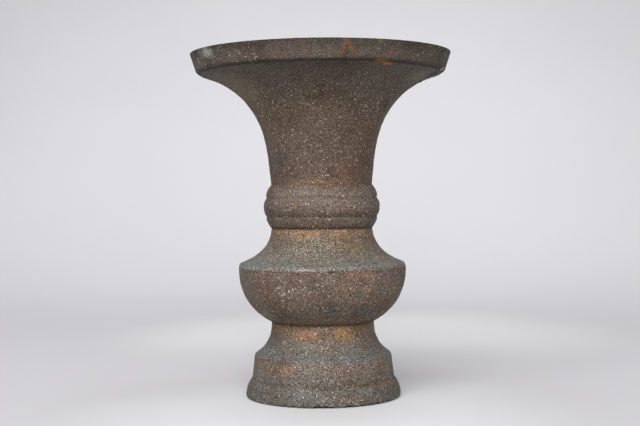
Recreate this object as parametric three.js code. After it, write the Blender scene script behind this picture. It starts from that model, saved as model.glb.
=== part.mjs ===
import * as THREE from "three";

// A cast metal flower vase of the gu form: a flared mouth with an upright lip, a ring of mouldings
// at the waist, a ridged belly and a stepped, hollow foot. It is cast in sections that sit in each
// other and are soldered. Millimetres, +Z up, origin at the centre of the foot's base.

// Heights of the members, from the foot up
const footMouldingHeight = 11.2;
const footBandHeight = 13.4;
const stemHeight = 19.2;
const bowlHeight = 31.6;
const ridgeHeight = 2.4;
const shoulderHeight = 20.7;
const collarLowerHeight = 6.5;
const collarMiddleHeight = 11.4;
const collarUpperHeight = 7.4;
const shaftHeight = 41.2;
const flareHeight = 23.3;
const lipEdgeHeight = 2.1;
const lipBandHeight = 9.6;

// Outer radii, and how far the mouldings stand out
const footRadius = 45.25;
const footMouldingReach = 3.75;
const footBandTaper = 1.45;
const stemRadius = 29.9;
const ridgeRadius = 48.95;
const ridgeTopSetback = 0.6;
const rootRadius = 29.5;
const collarStep = 3.1;
const collarBulge = 4.5;
const shaftTopRadius = 39.0;
const brimRadius = 70.9;
const lipEdgeReach = 2.2;
const lipSplay = 3.15;

// Walls
const footWall = 3.4;
const footRingWidth = 6.6;
const bowlWall = 3.7;
const shoulderWall = 3.4;
const neckWall = 3.6;
const brimWall = 2.9;
const lipWall = 3.3;
const spigotWall = 3.0;
const floorThickness = 3.0;

// Seats, sockets and the solder that fills them
const solderGap = 0.3;
const seatWidth = 4.2;
const neckSocketDepth = 5.0;
const neckSpigotReach = 2.6;
const footSocketDepth = 5.0;
const footSpigotReach = 2.8;
const floorLedgeWidth = 4.2;
const floorLedgeHeight = 2.8;
const registerHeight = 1.2;
const registerWall = 1.7;
const registerRoot = 4.0;
const brimSeatRise = 3.1;
const brimSeatWidth = 4.6;
const lipLedgeWidth = 2.6;
const lipLedgeHeight = 1.6;
const lipLedgeRise = 1.4;
const filletWidth = 1.3;
const floorFilletWidth = 4.6;
const filletHeight = 1.2;

// Small rounded edges and cut lines
const footEdgeHeight = 1.4;
const footEdgeSetback = 1.3;
const lipTopRounding = 0.5;
const grooveDepth = 0.5;
const grooveHalfWidth = 0.35;

// Slopes of the neck's outline, as radius gained per unit of height, and the share of a
// member's height over which each slope is felt
const rootLean = 0.088;
const flareLean = 0.6;
const brimLean = 1.5;
const rootPull = 0.46;
const shaftTopPull = 0.26;
const flareStartPull = 0.84;
const brimPull = 0.07;

// How each curved member leaves its lower end and arrives at its upper end,
// as shares of its own width and height
const footMouldingCurve = { leave: [0, 0.55], arrive: [0.35, 0.15] };
const stemCurve = { leave: [0.08, 0.09], arrive: [0, 0.77] };
const bowlCurve = { leave: [0.74, 0.235], arrive: [0, 0.39] };
const shoulderCurve = { leave: [0.03, 0.06], arrive: [0.05, 0.79] };
const collarLowerCurve = { leave: [0.45, 0.22], arrive: [0.25, 0.35] };
const collarRisingCurve = { leave: [0.8, 0.4], arrive: [0, 0.4] };
const collarFallingCurve = { leave: [0, 0.6], arrive: [0.6, 0.2] };
const collarUpperCurve = { leave: [0.02, 0.45], arrive: [0.4, 0.2] };
const lipEdgeCurve = { leave: [0.5, 0.2], arrive: [0.1, 0.5] };

// Facets round the axis
const roundSteps = 44;

// Levels of the joints and breaks in the outline, worked out from the heights
const footMouldingTop = footMouldingHeight;
const footBandTop = footMouldingTop + footBandHeight;
const stemTop = footBandTop + stemHeight;
const seamLevel = stemTop + bowlHeight;
const ridgeTop = seamLevel + ridgeHeight;
const collarBase = ridgeTop + shoulderHeight;
const lowerGrooveLevel = collarBase + collarLowerHeight;
const upperGrooveLevel = lowerGrooveLevel + collarMiddleHeight;
const collarTop = upperGrooveLevel + collarUpperHeight;
const shaftTop = collarTop + shaftHeight;
const brimLevel = shaftTop + flareHeight;
const lipEdgeTop = brimLevel + lipEdgeHeight;
const rimLevel = lipEdgeTop + lipBandHeight;

// Radii that follow from a seat or a wall
const footBandRadius = footRadius - footMouldingReach;
const stepRadius = footBandRadius - footBandTaper;
const spigotRadius = rootRadius - seatWidth;
const spigotBore = spigotRadius - spigotWall;
const socketRadius = spigotRadius + solderGap;
const bowlSpigotRadius = stemRadius - seatWidth - solderGap;
const bowlSpigotBore = bowlSpigotRadius - spigotWall;
const footSocketRadius = bowlSpigotRadius + solderGap;
const floorLevel = stemTop + floorLedgeHeight;
const floorTop = floorLevel + floorThickness;
const floorRadius = bowlSpigotBore + floorLedgeWidth;
const registerRadius = ridgeRadius - bowlWall - solderGap;
const registerTop = seamLevel + registerHeight;
const registerBore = registerRadius - registerWall;
const shoulderSeatLevel = registerTop + solderGap;
const brimSeatLevel = brimLevel + brimSeatRise;
const brimEdgeRadius = brimRadius - solderGap;
const brimSeatInner = brimEdgeRadius - brimSeatWidth;
const lipEdgeRadius = brimRadius + lipEdgeReach;
const lipRadius = lipEdgeRadius + lipSplay;

const point = (radius, height) => new THREE.Vector2(radius, height);

// A curved stretch of outline between two points, in so many straight steps
function moulding(from, to, { leave, arrive }, steps) {
  const span = to.clone().sub(from);
  const curve = new THREE.CubicBezierCurve(
    from,
    from.clone().add(point(span.x * leave[0], span.y * leave[1])),
    to.clone().sub(point(span.x * arrive[0], span.y * arrive[1])),
    to,
  );
  return curve.getPoints(steps);
}

// The inner side of a wall: every point of an outline that runs upwards, moved in square to it.
// The wall may change evenly from its first thickness to its last.
function innerSide(outline, firstWall, lastWall = firstWall) {
  const last = outline.length - 1;
  return outline.map((here, i) => {
    const before = outline[Math.max(i - 1, 0)];
    const after = outline[Math.min(i + 1, last)];
    const along = after.clone().sub(before).normalize();
    const wall = firstWall + ((lastWall - firstWall) * i) / last;
    return point(here.x - along.y * wall, here.y + along.x * wall);
  });
}

// The part of a line of points that lies between two heights
const between = (line, low, high) => line.filter((p) => p.y > low && p.y < high);

// The two neighbouring points between which a line passes a limit
function pairAt(line, isBeyond) {
  const found = line.findIndex(isBeyond);
  const upper = found < 0 ? line.length - 1 : Math.max(found, 1);
  return [line[upper - 1], line[upper]];
}

// The radius of a rising line of points at a height
function radiusAt(line, height) {
  const [a, b] = pairAt(line, (p) => p.y >= height);
  return a.x + ((b.x - a.x) * (height - a.y)) / (b.y - a.y);
}

// The height of an outline that spreads upwards, at a radius
function heightAt(line, radius) {
  const [a, b] = pairAt(line, (p) => p.x >= radius);
  return a.y + ((b.y - a.y) * (radius - a.x)) / (b.x - a.x);
}

// A ring or a disc turned from a profile that runs up outside and down inside
function turned(name, profile, material) {
  const onAxis = profile[0].x === 0;
  const closed = onAxis ? profile : [...profile, profile[0]];
  const geometry = new THREE.LatheGeometry(closed, roundSteps);
  geometry.rotateX(Math.PI / 2);
  const mesh = new THREE.Mesh(geometry, material);
  mesh.name = name;
  return mesh;
}

const patina = new THREE.MeshStandardMaterial({
  color: 0x6e6054,
  roughness: 0.72,
  metalness: 0.55,
});
const bandPatina = new THREE.MeshStandardMaterial({
  color: 0x5d534a,
  roughness: 0.68,
  metalness: 0.55,
});
const solder = new THREE.MeshStandardMaterial({
  color: 0x7b766c,
  roughness: 0.6,
  metalness: 0.7,
});

// The foot: contact ring, rounded base, tapered band and hollow stem in one casting,
// with a socket at the top for the bowl's spigot
const stemOutline = moulding(
  point(stepRadius, footBandTop),
  point(stemRadius, stemTop),
  stemCurve,
  8,
);
const stemInside = innerSide(stemOutline, footWall);
const footSocketFloor = stemTop - footSocketDepth;
const footSocketLedge = radiusAt(stemInside, footSocketFloor);

function footProfile() {
  const base = moulding(
    point(footRadius, footEdgeHeight),
    point(footBandRadius, footMouldingTop),
    footMouldingCurve,
    5,
  );
  return [
    point(footRadius - footEdgeSetback, 0),
    ...base,
    ...stemOutline,
    point(footSocketRadius, stemTop),
    point(footSocketRadius, footSocketFloor),
    point(footSocketLedge, footSocketFloor),
    ...between(stemInside, footBandTop, footSocketFloor - solderGap).reverse(),
    point(stepRadius - footWall, footBandTop - footWall / 2),
    point(footBandRadius - footWall, footMouldingTop),
    point(footRadius - footRingWidth, 0),
  ];
}

// The bowl: lower half of the belly, with a spigot for the foot, a ledge for the floor plate
// and a low register at the top that centres the shoulder
const bowlOutline = moulding(
  point(stemRadius, stemTop),
  point(ridgeRadius, seamLevel),
  bowlCurve,
  9,
);

function bowlProfile() {
  const inside = innerSide(bowlOutline, bowlWall);
  const spigotEnd = footSocketFloor - footSpigotReach;
  return [
    point(bowlSpigotRadius, spigotEnd),
    point(bowlSpigotRadius, stemTop),
    ...bowlOutline,
    point(registerRadius, seamLevel),
    point(registerRadius, registerTop),
    point(registerBore, registerTop),
    point(registerBore, seamLevel - registerHeight),
    ...between(inside, floorTop + solderGap, seamLevel - registerRoot).reverse(),
    point(radiusAt(inside, floorTop), floorTop),
    point(floorRadius + solderGap, floorTop),
    point(floorRadius + solderGap, floorLevel),
    point(bowlSpigotBore, floorLevel),
    point(bowlSpigotBore, spigotEnd),
  ];
}

// The plate that closes the bottom of the vessel
function floorProfile() {
  return [
    point(0, floorLevel),
    point(floorRadius, floorLevel),
    point(floorRadius, floorTop),
    point(0, floorTop),
  ];
}

// The shoulder: the ridge and the hollow-curved upper half of the belly, with the neck's socket
const shoulderOutline = moulding(
  point(ridgeRadius - ridgeTopSetback, ridgeTop),
  point(rootRadius, collarBase),
  shoulderCurve,
  9,
);
const shoulderInside = innerSide(shoulderOutline, shoulderWall);
const neckSocketFloor = collarBase - neckSocketDepth;
const neckSocketLedge = radiusAt(shoulderInside, neckSocketFloor);

function shoulderProfile() {
  return [
    point(ridgeRadius, seamLevel),
    point(ridgeRadius - ridgeTopSetback / 4, seamLevel + ridgeHeight / 2),
    ...shoulderOutline,
    point(socketRadius, collarBase),
    point(socketRadius, neckSocketFloor),
    point(neckSocketLedge, neckSocketFloor),
    ...between(shoulderInside, shoulderSeatLevel + solderGap, neckSocketFloor - solderGap).reverse(),
    point(radiusAt(shoulderInside, shoulderSeatLevel), shoulderSeatLevel),
    point(registerRadius + solderGap, shoulderSeatLevel),
    point(registerRadius + solderGap, seamLevel),
  ];
}

// The collar: a lower quarter round, a bulging middle and an upper quarter round,
// parted by two cut grooves
function collarProfile() {
  const grooveRadius = rootRadius + collarStep;
  const lower = moulding(
    point(rootRadius, collarBase),
    point(grooveRadius, lowerGrooveLevel - grooveHalfWidth),
    collarLowerCurve,
    4,
  );
  const middleLevel = (lowerGrooveLevel + upperGrooveLevel) / 2;
  const bulgeRadius = rootRadius + collarBulge;
  const middleRising = moulding(
    point(grooveRadius, lowerGrooveLevel + grooveHalfWidth),
    point(bulgeRadius, middleLevel),
    collarRisingCurve,
    4,
  );
  const middleFalling = moulding(
    point(bulgeRadius, middleLevel),
    point(grooveRadius, upperGrooveLevel - grooveHalfWidth),
    collarFallingCurve,
    4,
  );
  const upper = moulding(
    point(grooveRadius, upperGrooveLevel + grooveHalfWidth),
    point(rootRadius, collarTop),
    collarUpperCurve,
    4,
  );
  return [
    ...lower,
    point(grooveRadius - grooveDepth, lowerGrooveLevel),
    ...middleRising,
    ...middleFalling.slice(1),
    point(grooveRadius - grooveDepth, upperGrooveLevel),
    ...upper,
    point(socketRadius, collarTop),
    point(socketRadius, collarBase),
  ];
}

// The neck's outline from the collar to the brim: a slim shaft that turns into a wide flare
function neckOutline() {
  const root = point(rootRadius, collarTop);
  const waist = point(shaftTopRadius, shaftTop);
  const brim = point(brimRadius, brimLevel);
  const lean = (slope, rise) => point(slope * rise, rise);
  const shaft = new THREE.CubicBezierCurve(
    root,
    root.clone().add(lean(rootLean, shaftHeight * rootPull)),
    waist.clone().sub(lean(flareLean, shaftHeight * shaftTopPull)),
    waist,
  );
  const flare = new THREE.CubicBezierCurve(
    waist,
    waist.clone().add(lean(flareLean, flareHeight * flareStartPull)),
    brim.clone().sub(lean(brimLean, flareHeight * brimPull)),
    brim,
  );
  return [...shaft.getPoints(6), ...flare.getPoints(12).slice(1)];
}
const neckOutside = neckOutline();
const brimEdgeLevel = heightAt(neckOutside, brimEdgeRadius);

function neckProfile() {
  const outside = neckOutside.filter((p) => p.x < brimEdgeRadius - solderGap);
  const inside = innerSide(neckOutside, neckWall, brimWall);
  const insideShown = inside.filter(
    (p) => p.y > collarTop + neckWall && p.x < brimSeatInner - solderGap && p.y < brimSeatLevel,
  );
  const spigotEnd = neckSocketFloor - neckSpigotReach;
  return [
    point(spigotRadius, spigotEnd),
    point(spigotRadius, collarTop),
    ...outside,
    point(brimEdgeRadius, brimEdgeLevel),
    point(brimEdgeRadius, brimSeatLevel),
    point(brimSeatInner, brimSeatLevel),
    ...insideShown.reverse(),
    point(spigotBore, collarTop - neckWall),
    point(spigotBore, spigotEnd),
  ];
}

// The lip: an upright band whose skirt covers the brim's edge and whose ledge rests on it
const lipLedgeInner = brimRadius - lipLedgeWidth;

function lipProfile() {
  const edge = moulding(
    point(brimRadius, brimLevel),
    point(lipEdgeRadius, lipEdgeTop),
    lipEdgeCurve,
    3,
  );
  const lipInner = lipRadius - lipWall;
  return [
    ...edge,
    point(lipRadius, rimLevel - lipTopRounding),
    point(lipRadius - lipTopRounding, rimLevel),
    point(lipInner, rimLevel),
    point(brimRadius, brimSeatLevel + lipLedgeHeight + lipLedgeRise),
    point(lipLedgeInner, brimSeatLevel + lipLedgeHeight),
    point(lipLedgeInner, brimSeatLevel),
    point(brimRadius, brimSeatLevel),
  ];
}

// A fillet of solder in a corner: seated flat on one face, clear of the other by the gap
function filletProfile(cornerRadius, level, reach, drop) {
  const corner = point(cornerRadius, level);
  const spread = point(cornerRadius + reach, level);
  const foot = point(cornerRadius, level + drop);
  return reach * drop > 0 ? [corner, spread, foot] : [corner, foot, spread];
}

const vase = new THREE.Group();
vase.name = "vase";
vase.add(
  turned("foot", footProfile(), patina),
  turned("belly_bowl", bowlProfile(), patina),
  turned("floor_disc", floorProfile(), patina),
  turned("shoulder", shoulderProfile(), patina),
  turned("collar_ring", collarProfile(), patina),
  turned("trumpet_neck", neckProfile(), patina),
  turned("lip_band", lipProfile(), bandPatina),
  turned(
    "foot_solder",
    filletProfile(
      footSocketRadius,
      footSocketFloor,
      footSocketLedge - footSocketRadius - solderGap,
      -footSpigotReach,
    ),
    solder,
  ),
  turned(
    "neck_solder",
    filletProfile(
      socketRadius,
      neckSocketFloor,
      neckSocketLedge - socketRadius - solderGap,
      -neckSpigotReach,
    ),
    solder,
  ),
  turned(
    "belly_solder",
    filletProfile(registerBore - solderGap, shoulderSeatLevel, -filletWidth, -registerHeight),
    solder,
  ),
  turned(
    "floor_solder",
    filletProfile(floorRadius - floorFilletWidth / 2, floorTop, floorFilletWidth, filletHeight),
    solder,
  ),
  turned(
    "lip_solder",
    filletProfile(lipLedgeInner - solderGap, brimSeatLevel, -filletWidth, filletHeight),
    solder,
  ),
);

export default vase;
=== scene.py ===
"""Looks of a cast metal flower vase of the gu form, modelled over its fixed frame.

The vase is cast in sections that sit in each other and are soldered, so each section is a class of
its own: it holds the section's sizes, turns its outline, presses the mould's unevenness and the
marks of age into it, and dresses it in its patina. Lengths are millimetres in the row frame, +Z up,
and MM turns them into Blender's metres. Azimuths are degrees from the front (-Y) towards +X.
"""

import logging
import math
from collections.abc import Callable, Iterable, Sequence
from dataclasses import dataclass, field, replace
from enum import Enum

import bpy
import numpy as np
from mathutils import Matrix, Vector
from mathutils.geometry import interpolate_bezier


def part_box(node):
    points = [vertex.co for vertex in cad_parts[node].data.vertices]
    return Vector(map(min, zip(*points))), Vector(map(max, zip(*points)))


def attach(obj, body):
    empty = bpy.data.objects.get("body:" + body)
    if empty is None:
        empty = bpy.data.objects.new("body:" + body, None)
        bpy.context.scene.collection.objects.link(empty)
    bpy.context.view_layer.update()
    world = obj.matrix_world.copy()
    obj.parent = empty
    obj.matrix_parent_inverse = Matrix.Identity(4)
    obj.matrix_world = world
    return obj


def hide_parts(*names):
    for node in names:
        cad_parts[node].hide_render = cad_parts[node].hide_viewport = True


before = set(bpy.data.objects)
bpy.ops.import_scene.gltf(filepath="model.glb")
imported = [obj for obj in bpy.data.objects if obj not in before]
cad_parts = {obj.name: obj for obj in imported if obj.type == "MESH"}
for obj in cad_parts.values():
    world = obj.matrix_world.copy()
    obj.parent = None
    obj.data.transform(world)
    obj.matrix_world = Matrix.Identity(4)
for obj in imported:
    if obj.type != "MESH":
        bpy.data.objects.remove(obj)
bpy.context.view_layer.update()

MM = 0.001
BODY = "root"
RELIEF_GROUP = "cast_relief"
WELD = 1e-6
SMOOTH_ANGLE = 42.0

# A vertex that a mark moves by less than this share of its depth is left out
FAINT = 0.004

# Share of the cast relief that a surface takes
SKIN = 1.0
INNER = 0.8
EDGE = 0.45
SEAT = 0.0

# Where a rounded corner has its points, as shares of the way round it
ROUNDING_SHARES = (0.25, 0.5, 0.75)

# Distance between the rows of a turned mesh
TINY = 0.3
SMALL = 0.4
NARROW = 0.5
FINE = 0.6
PLAIN = 1.3
COARSE = 2.6

# Widths of a sand grain and of the cell that a pale speck lies in, the least and the most of that
# cell that the speck's radius takes, and its near-white colour, a pale grain with a painted glint
GRAIN_SIZE = 0.3
SPECK_SIZE = 0.56
SPECK_RADII = (0.16, 0.46)
PALE_SPECK_AND_GLINT = "eee6dc"

# Swells of mottling, pits and swells of grit in a millimetre
MOTTLE_SCALE = 0.22 / GRAIN_SIZE
PIT_SCALE = 0.4 / GRAIN_SIZE
GRIT_SCALE = 0.8 / GRAIN_SIZE

# How far the mottling, the grains and the pits lift the grit
MOTTLE_RISE = 0.7
GRAIN_RISE = 0.35
PIT_RISE = -0.5

# The noise between which the mottling goes from none to full, and how far from a pit's middle it
# starts to fade and where it ends
MOTTLE_RANGE = (0.32, 0.68)
PIT_FADE = (0.12, 0.34)

# How far the grains differ in lightness, how much the brightest stand out as painted glints and
# how rare they are
GRAIN_SPAN = 0.85
GLINT = 0.55
GLINT_POWER = 15.0
GRAIN_MEAN = GRAIN_SPAN / 2 + GLINT / (GLINT_POWER + 1.0)

# How strong the grain is where the specks have faded
BARE_GRAIN = 1.15

# How much the wider mottling lightens and the pits darken the skin
MOTTLE = 0.1
PIT = -0.08

# The skin's sheen, how much rougher the mottling makes it, and how much smoother a speck is
SHEEN = 0.14
MOTTLE_ROUGHNESS = 0.14
SPECK_POLISH = 0.22

# How far noise bends the bands of colour up and down, and swells of it in a millimetre
BAND_SWAY = 2.4
SWAY_SCALE = 0.08

# Warm and cool clouds in a millimetre, the noise between which they go from none to full, and the
# share that each finer octave of it keeps
WARM_SCALE = 0.055
WARM_RANGE = (0.46, 0.64)
COOL_SCALE = 0.075
COOL_RANGE = (0.48, 0.64)
CLOUD_ROUGHNESS = 0.62

# What keeps the noise of the cool clouds apart from that of the warm ones
COOL_SHIFT = (0.31, 0.17, 0.53)

# Tears of a patch's edge in a millimetre, how far they and the grains move it, the grain that
# leaves it in place, and where it starts to fade and ends, as shares of the patch's half size
TEAR_SCALE = 0.3
TEAR = 3.0
GRAIN_TEAR = 0.6
GRAIN_LEVEL = 0.35
EDGE_FADE = (0.2, 1.05)

# Bends of a line in a millimetre, and where its edge starts to fade and ends, as shares of its
# width
BEND_SCALE = 0.12
LINE_FADE = (0.2, 1.0)

# Breaks in a line in a millimetre, and the noise between which they open
BREAK_SCALE = 0.4
BREAK_RANGE = (0.3, 0.6)

# The sockets of a mix node that take and give colours
MIX_FIRST = 6
MIX_SECOND = 7
MIX_RESULT = 2

Piece = bpy.types.Object
Socket = bpy.types.NodeSocket
Colour = tuple[float, float, float, float]
Feed = Socket | float | Sequence[float]

log = logging.getLogger("vase")


def low(node: str) -> float:
    """The lowest level of a frame node, in millimetres."""
    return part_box(node)[0].z / MM


def high(node: str) -> float:
    """The highest level of a frame node, in millimetres."""
    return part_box(node)[1].z / MM


def reach(node: str) -> float:
    """The outer radius of a frame node, in millimetres."""
    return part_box(node)[1].x / MM


def spline(start: Vector, first: Vector, last: Vector, end: Vector, step: float) -> list[Vector]:
    """Points of a curve with two handles.

    Args:
        start: The curve's start.
        first: The handle at its start.
        last: The handle at its end.
        end: The curve's end.
        step: The distance wanted between neighbouring points.

    Returns:
        The points, both ends among them.
    """
    length = (first - start).length + (last - first).length + (end - last).length
    count = max(4, round(length / step))
    return [Vector(p[:2]) for p in interpolate_bezier(start, first, last, end, count + 1)]


@dataclass(frozen=True)
class Sweep:
    """How a curved member leaves its lower end and arrives at its upper end.

    Both are handles of a curve, as shares of the member's own width and height.
    """

    leave: tuple[float, float]
    arrive: tuple[float, float]

    def points(self, start: Vector, end: Vector, step: float) -> list[Vector]:
        """Points of the member's outline.

        Args:
            start: The lower end, radius and height.
            end: The upper end.
            step: The distance wanted between neighbouring points.

        Returns:
            The points, both ends among them.
        """
        span = end - start
        first = start + Vector((span.x * self.leave[0], span.y * self.leave[1]))
        last = end - Vector((span.x * self.arrive[0], span.y * self.arrive[1]))
        return spline(start, first, last, end, step)


def inner_side(
    outline: Sequence[Vector],
    walls: tuple[float, float],
    bottom: float,
    top: float,
    widest: float = math.inf,
) -> list[Vector]:
    """The inner side of a wall whose thickness changes evenly, running down between two levels.

    Args:
        outline: Points of the outer side, running upwards.
        walls: The wall at the outline's start and at its end.
        bottom: The level that the side stays above.
        top: The level that it stays below.
        widest: The radius that it stays inside.

    Returns:
        Every other point of the outline, moved in square to it.
    """
    last = len(outline) - 1
    side = []
    for index, here in enumerate(outline):
        along = (outline[min(index + 1, last)] - outline[max(index - 1, 0)]).normalized()
        wall = walls[0] + (walls[1] - walls[0]) * index / last
        side.append(Vector((here.x - along.y * wall, here.y + along.x * wall)))
    return [point for point in side if bottom < point.y < top and point.x < widest][::-2]


@dataclass(frozen=True)
class Stop:
    """A point of an outline, with its share of the cast relief."""

    radius: float
    height: float
    relief: float

    def place(self) -> Vector:
        """The stop's point in the half plane of the outline."""
        return Vector((self.radius, self.height))

    def in_metres(self) -> Vector:
        """The stop's point in space, on the +X side."""
        return Vector((self.radius * MM, 0.0, self.height * MM))


class Outline:
    """An outline that runs up outside and down inside, built stretch by stretch."""

    def __init__(self, radius: float, height: float, relief: float = SEAT) -> None:
        """Starts the outline at a radius and a height."""
        self.stops = [Stop(radius, height, relief)]

    def follow(self, points: Iterable[Vector], relief: float = SKIN, rounding: float = 0.0) -> None:
        """Goes on through some points.

        Args:
            points: The points, radius and height.
            relief: Their share of the cast relief.
            rounding: How far the corner that the outline has reached is rounded.
        """
        corner = self.stops[-1]
        stretch = [Stop(p.x, p.y, relief) for p in points]
        if (stretch[0].place() - corner.place()).length < WELD:
            stretch.pop(0)
        if rounding:
            while (self.stops[-1].place() - corner.place()).length < rounding:
                self.stops.pop()
            while (stretch[0].place() - corner.place()).length < rounding:
                stretch.pop(0)
            before, after = self.stops[-1].place(), stretch[0].place()
            soft = (corner.relief + relief) / 2
            for share in ROUNDING_SHARES:
                first = before.lerp(corner.place(), share)
                second = corner.place().lerp(after, share)
                middle = first.lerp(second, share)
                self.stops.append(Stop(middle.x, middle.y, soft))
        self.stops += stretch

    def to(
        self,
        radius: float,
        height: float,
        step: float = PLAIN,
        relief: float = SKIN,
        rounding: float = 0.0,
        sweep: Sweep | None = None,
    ) -> None:
        """Goes to a radius and a height, straight or in a curve.

        Args:
            radius: The radius at the end.
            height: The height at the end.
            step: The distance wanted between neighbouring points.
            relief: The stretch's share of the cast relief.
            rounding: How far the corner that the outline has reached is rounded.
            sweep: The curve's handles, or none for a straight stretch.
        """
        start, end = self.stops[-1].place(), Vector((radius, height))
        if sweep:
            points = sweep.points(start, end, step)
        else:
            count = max(1, round((end - start).length / step))
            points = [start.lerp(end, index / count) for index in range(1, count + 1)]
        self.follow(points, relief, rounding)

    def seat(self, radius: float, height: float, step: float = PLAIN) -> None:
        """Goes straight along a face that was cut true, without any relief."""
        self.to(radius, height, step, SEAT)


def select_only(piece: Piece) -> None:
    """Makes a piece the one that is selected and active.

    Args:
        piece: The piece.
    """
    bpy.ops.object.select_all(action="DESELECT")
    piece.select_set(True)
    bpy.context.view_layer.objects.active = piece


def turned(name: str, outline: Outline, segments: int, closed: bool) -> Piece:
    """Turns an outline round the vase's axis.

    Args:
        name: The piece's name.
        outline: The outline, whose ends are on the axis where it isn't closed.
        segments: The facets round the axis.
        closed: Whether the outline's end joins its start.

    Returns:
        The piece, with the stops' relief in a vertex group.
    """
    stops = outline.stops
    bpy.ops.object.select_all(action="DESELECT")
    start = stops[0].in_metres()
    bpy.ops.mesh.primitive_circle_add(vertices=3, radius=MM, location=start)
    piece = bpy.context.active_object
    piece.name = name
    bpy.ops.object.transform_apply(location=True, rotation=True, scale=True)
    bpy.ops.object.mode_set(mode="EDIT")
    bpy.ops.mesh.select_mode(type="VERT")
    bpy.ops.mesh.select_all(action="SELECT")
    bpy.ops.mesh.merge(type="CENTER")
    for here, after in zip(stops, stops[1:]):
        move = after.in_metres() - here.in_metres()
        bpy.ops.mesh.extrude_vertices_move(TRANSFORM_OT_translate={"value": move})
    bpy.ops.object.mode_set(mode="OBJECT")
    group = piece.vertex_groups.new(name=RELIEF_GROUP)
    ends = (0, len(stops) - 1) if closed else ()
    for vertex, stop in zip(piece.data.vertices, stops):
        group.add([vertex.index], stop.relief, "REPLACE")
        vertex.select = vertex.index in ends
    bpy.ops.object.mode_set(mode="EDIT")
    if closed:
        bpy.ops.mesh.edge_face_add()
    bpy.ops.object.mode_set(mode="OBJECT")
    bpy.ops.object.modifier_add(type="SCREW")
    turn = piece.modifiers[-1]
    turn.axis = "Z"
    turn.angle = math.tau
    turn.steps = segments
    turn.render_steps = segments
    turn.use_merge_vertices = True
    turn.merge_threshold = WELD
    bpy.ops.object.modifier_apply(modifier=turn.name)
    bpy.ops.object.mode_set(mode="EDIT")
    bpy.ops.mesh.select_all(action="SELECT")
    bpy.ops.mesh.remove_doubles(threshold=WELD)
    bpy.ops.mesh.normals_make_consistent(inside=False)
    bpy.ops.object.mode_set(mode="OBJECT")
    return piece


def vertex_places(piece: Piece) -> np.ndarray:
    """The places of a piece's vertices.

    Args:
        piece: The piece.

    Returns:
        One row for each vertex, in millimetres.
    """
    flat = np.empty(len(piece.data.vertices) * 3, np.float64)
    piece.data.vertices.foreach_get("co", flat)
    return flat.reshape(-1, 3) / MM


def weigh(piece: Piece, name: str, weights: np.ndarray) -> None:
    """Puts a weight on each vertex that has one, in a new vertex group.

    Args:
        piece: The piece.
        name: The group's name.
        weights: One weight for each vertex; faint ones are left out.
    """
    group = piece.vertex_groups.new(name=name)
    for index in np.nonzero(weights > FAINT)[0]:
        group.add([int(index)], float(min(weights[index], 1.0)), "REPLACE")


def displace(
    piece: Piece,
    group: str,
    strength: float,
    texture: bpy.types.Texture | None = None,
    middle: float = 0.0,
    direction: str = "NORMAL",
) -> None:
    """Moves a piece's skin in or out, and applies it.

    Args:
        piece: The piece.
        group: The vertex group that says where, and how much.
        strength: How far a full weight moves, in millimetres, outwards if positive.
        texture: The pattern, or none for an even move.
        middle: The pattern's value that stays in place.
        direction: The way of the move, along the normal or an axis.
    """
    select_only(piece)
    bpy.ops.object.modifier_add(type="DISPLACE")
    move = piece.modifiers[-1]
    move.vertex_group = group
    move.strength = strength * MM
    move.mid_level = middle
    move.direction = direction
    if texture is not None:
        move.texture = texture
        move.texture_coords = "LOCAL"
    bpy.ops.object.modifier_apply(modifier=move.name)


class Mould(Enum):
    """Kinds of unevenness that a sand mould leaves, each by its noise."""

    SWELL = "IMPROVED_PERLIN"
    SAND = "BLENDER_ORIGINAL"


@dataclass(frozen=True)
class Relief:
    """An unevenness of the cast skin.

    Attributes:
        kind: Its noise.
        width: How wide its swells are.
        depth: How far its highest and its lowest places can be apart.
        detail: How many finer octaves it has.
        middle: The noise's value that leaves the skin in place.
    """

    kind: Mould
    width: float
    depth: float
    detail: int = 2
    middle: float = 0.5

    def press(self, piece: Piece, group: str = RELIEF_GROUP, along: str = "NORMAL") -> None:
        """Presses the unevenness into a piece.

        Args:
            piece: The piece.
            group: The vertex group that says where.
            along: The way of the move, along the normal or an axis.
        """
        texture = bpy.data.textures.new(f"{piece.name}_{self.kind.name.lower()}", "CLOUDS")
        texture.noise_basis = self.kind.value
        texture.noise_scale = self.width * MM
        texture.noise_depth = self.detail
        displace(piece, group, self.depth, texture, self.middle, along)


@dataclass(frozen=True)
class Spot:
    """A small area of the skin.

    Attributes:
        azimuth: Where it lies round the vase.
        radius: The skin's radius there.
        height: Its level.
        width: Its half width round the vase.
        rise: Its half height.
        lean: How far it leans from upright, in degrees.
        swing: How far it is turned from facing outwards, in degrees.
    """

    azimuth: float
    radius: float
    height: float
    width: float
    rise: float
    lean: float = field(default=0.0, kw_only=True)
    swing: float = field(default=0.0, kw_only=True)

    def centre(self) -> Vector:
        """Its middle, in millimetres."""
        turn = math.radians(self.azimuth)
        return Vector((self.radius * math.sin(turn), -self.radius * math.cos(turn), self.height))

    def facing(self) -> float:
        """The way that it faces round the vase, in radians."""
        return math.radians(self.azimuth + self.swing)

    def half_sizes(self) -> tuple[float, float, float]:
        """Its half width, half depth and half height, in millimetres."""
        return (self.width, max(self.width, self.rise), self.rise)


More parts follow.
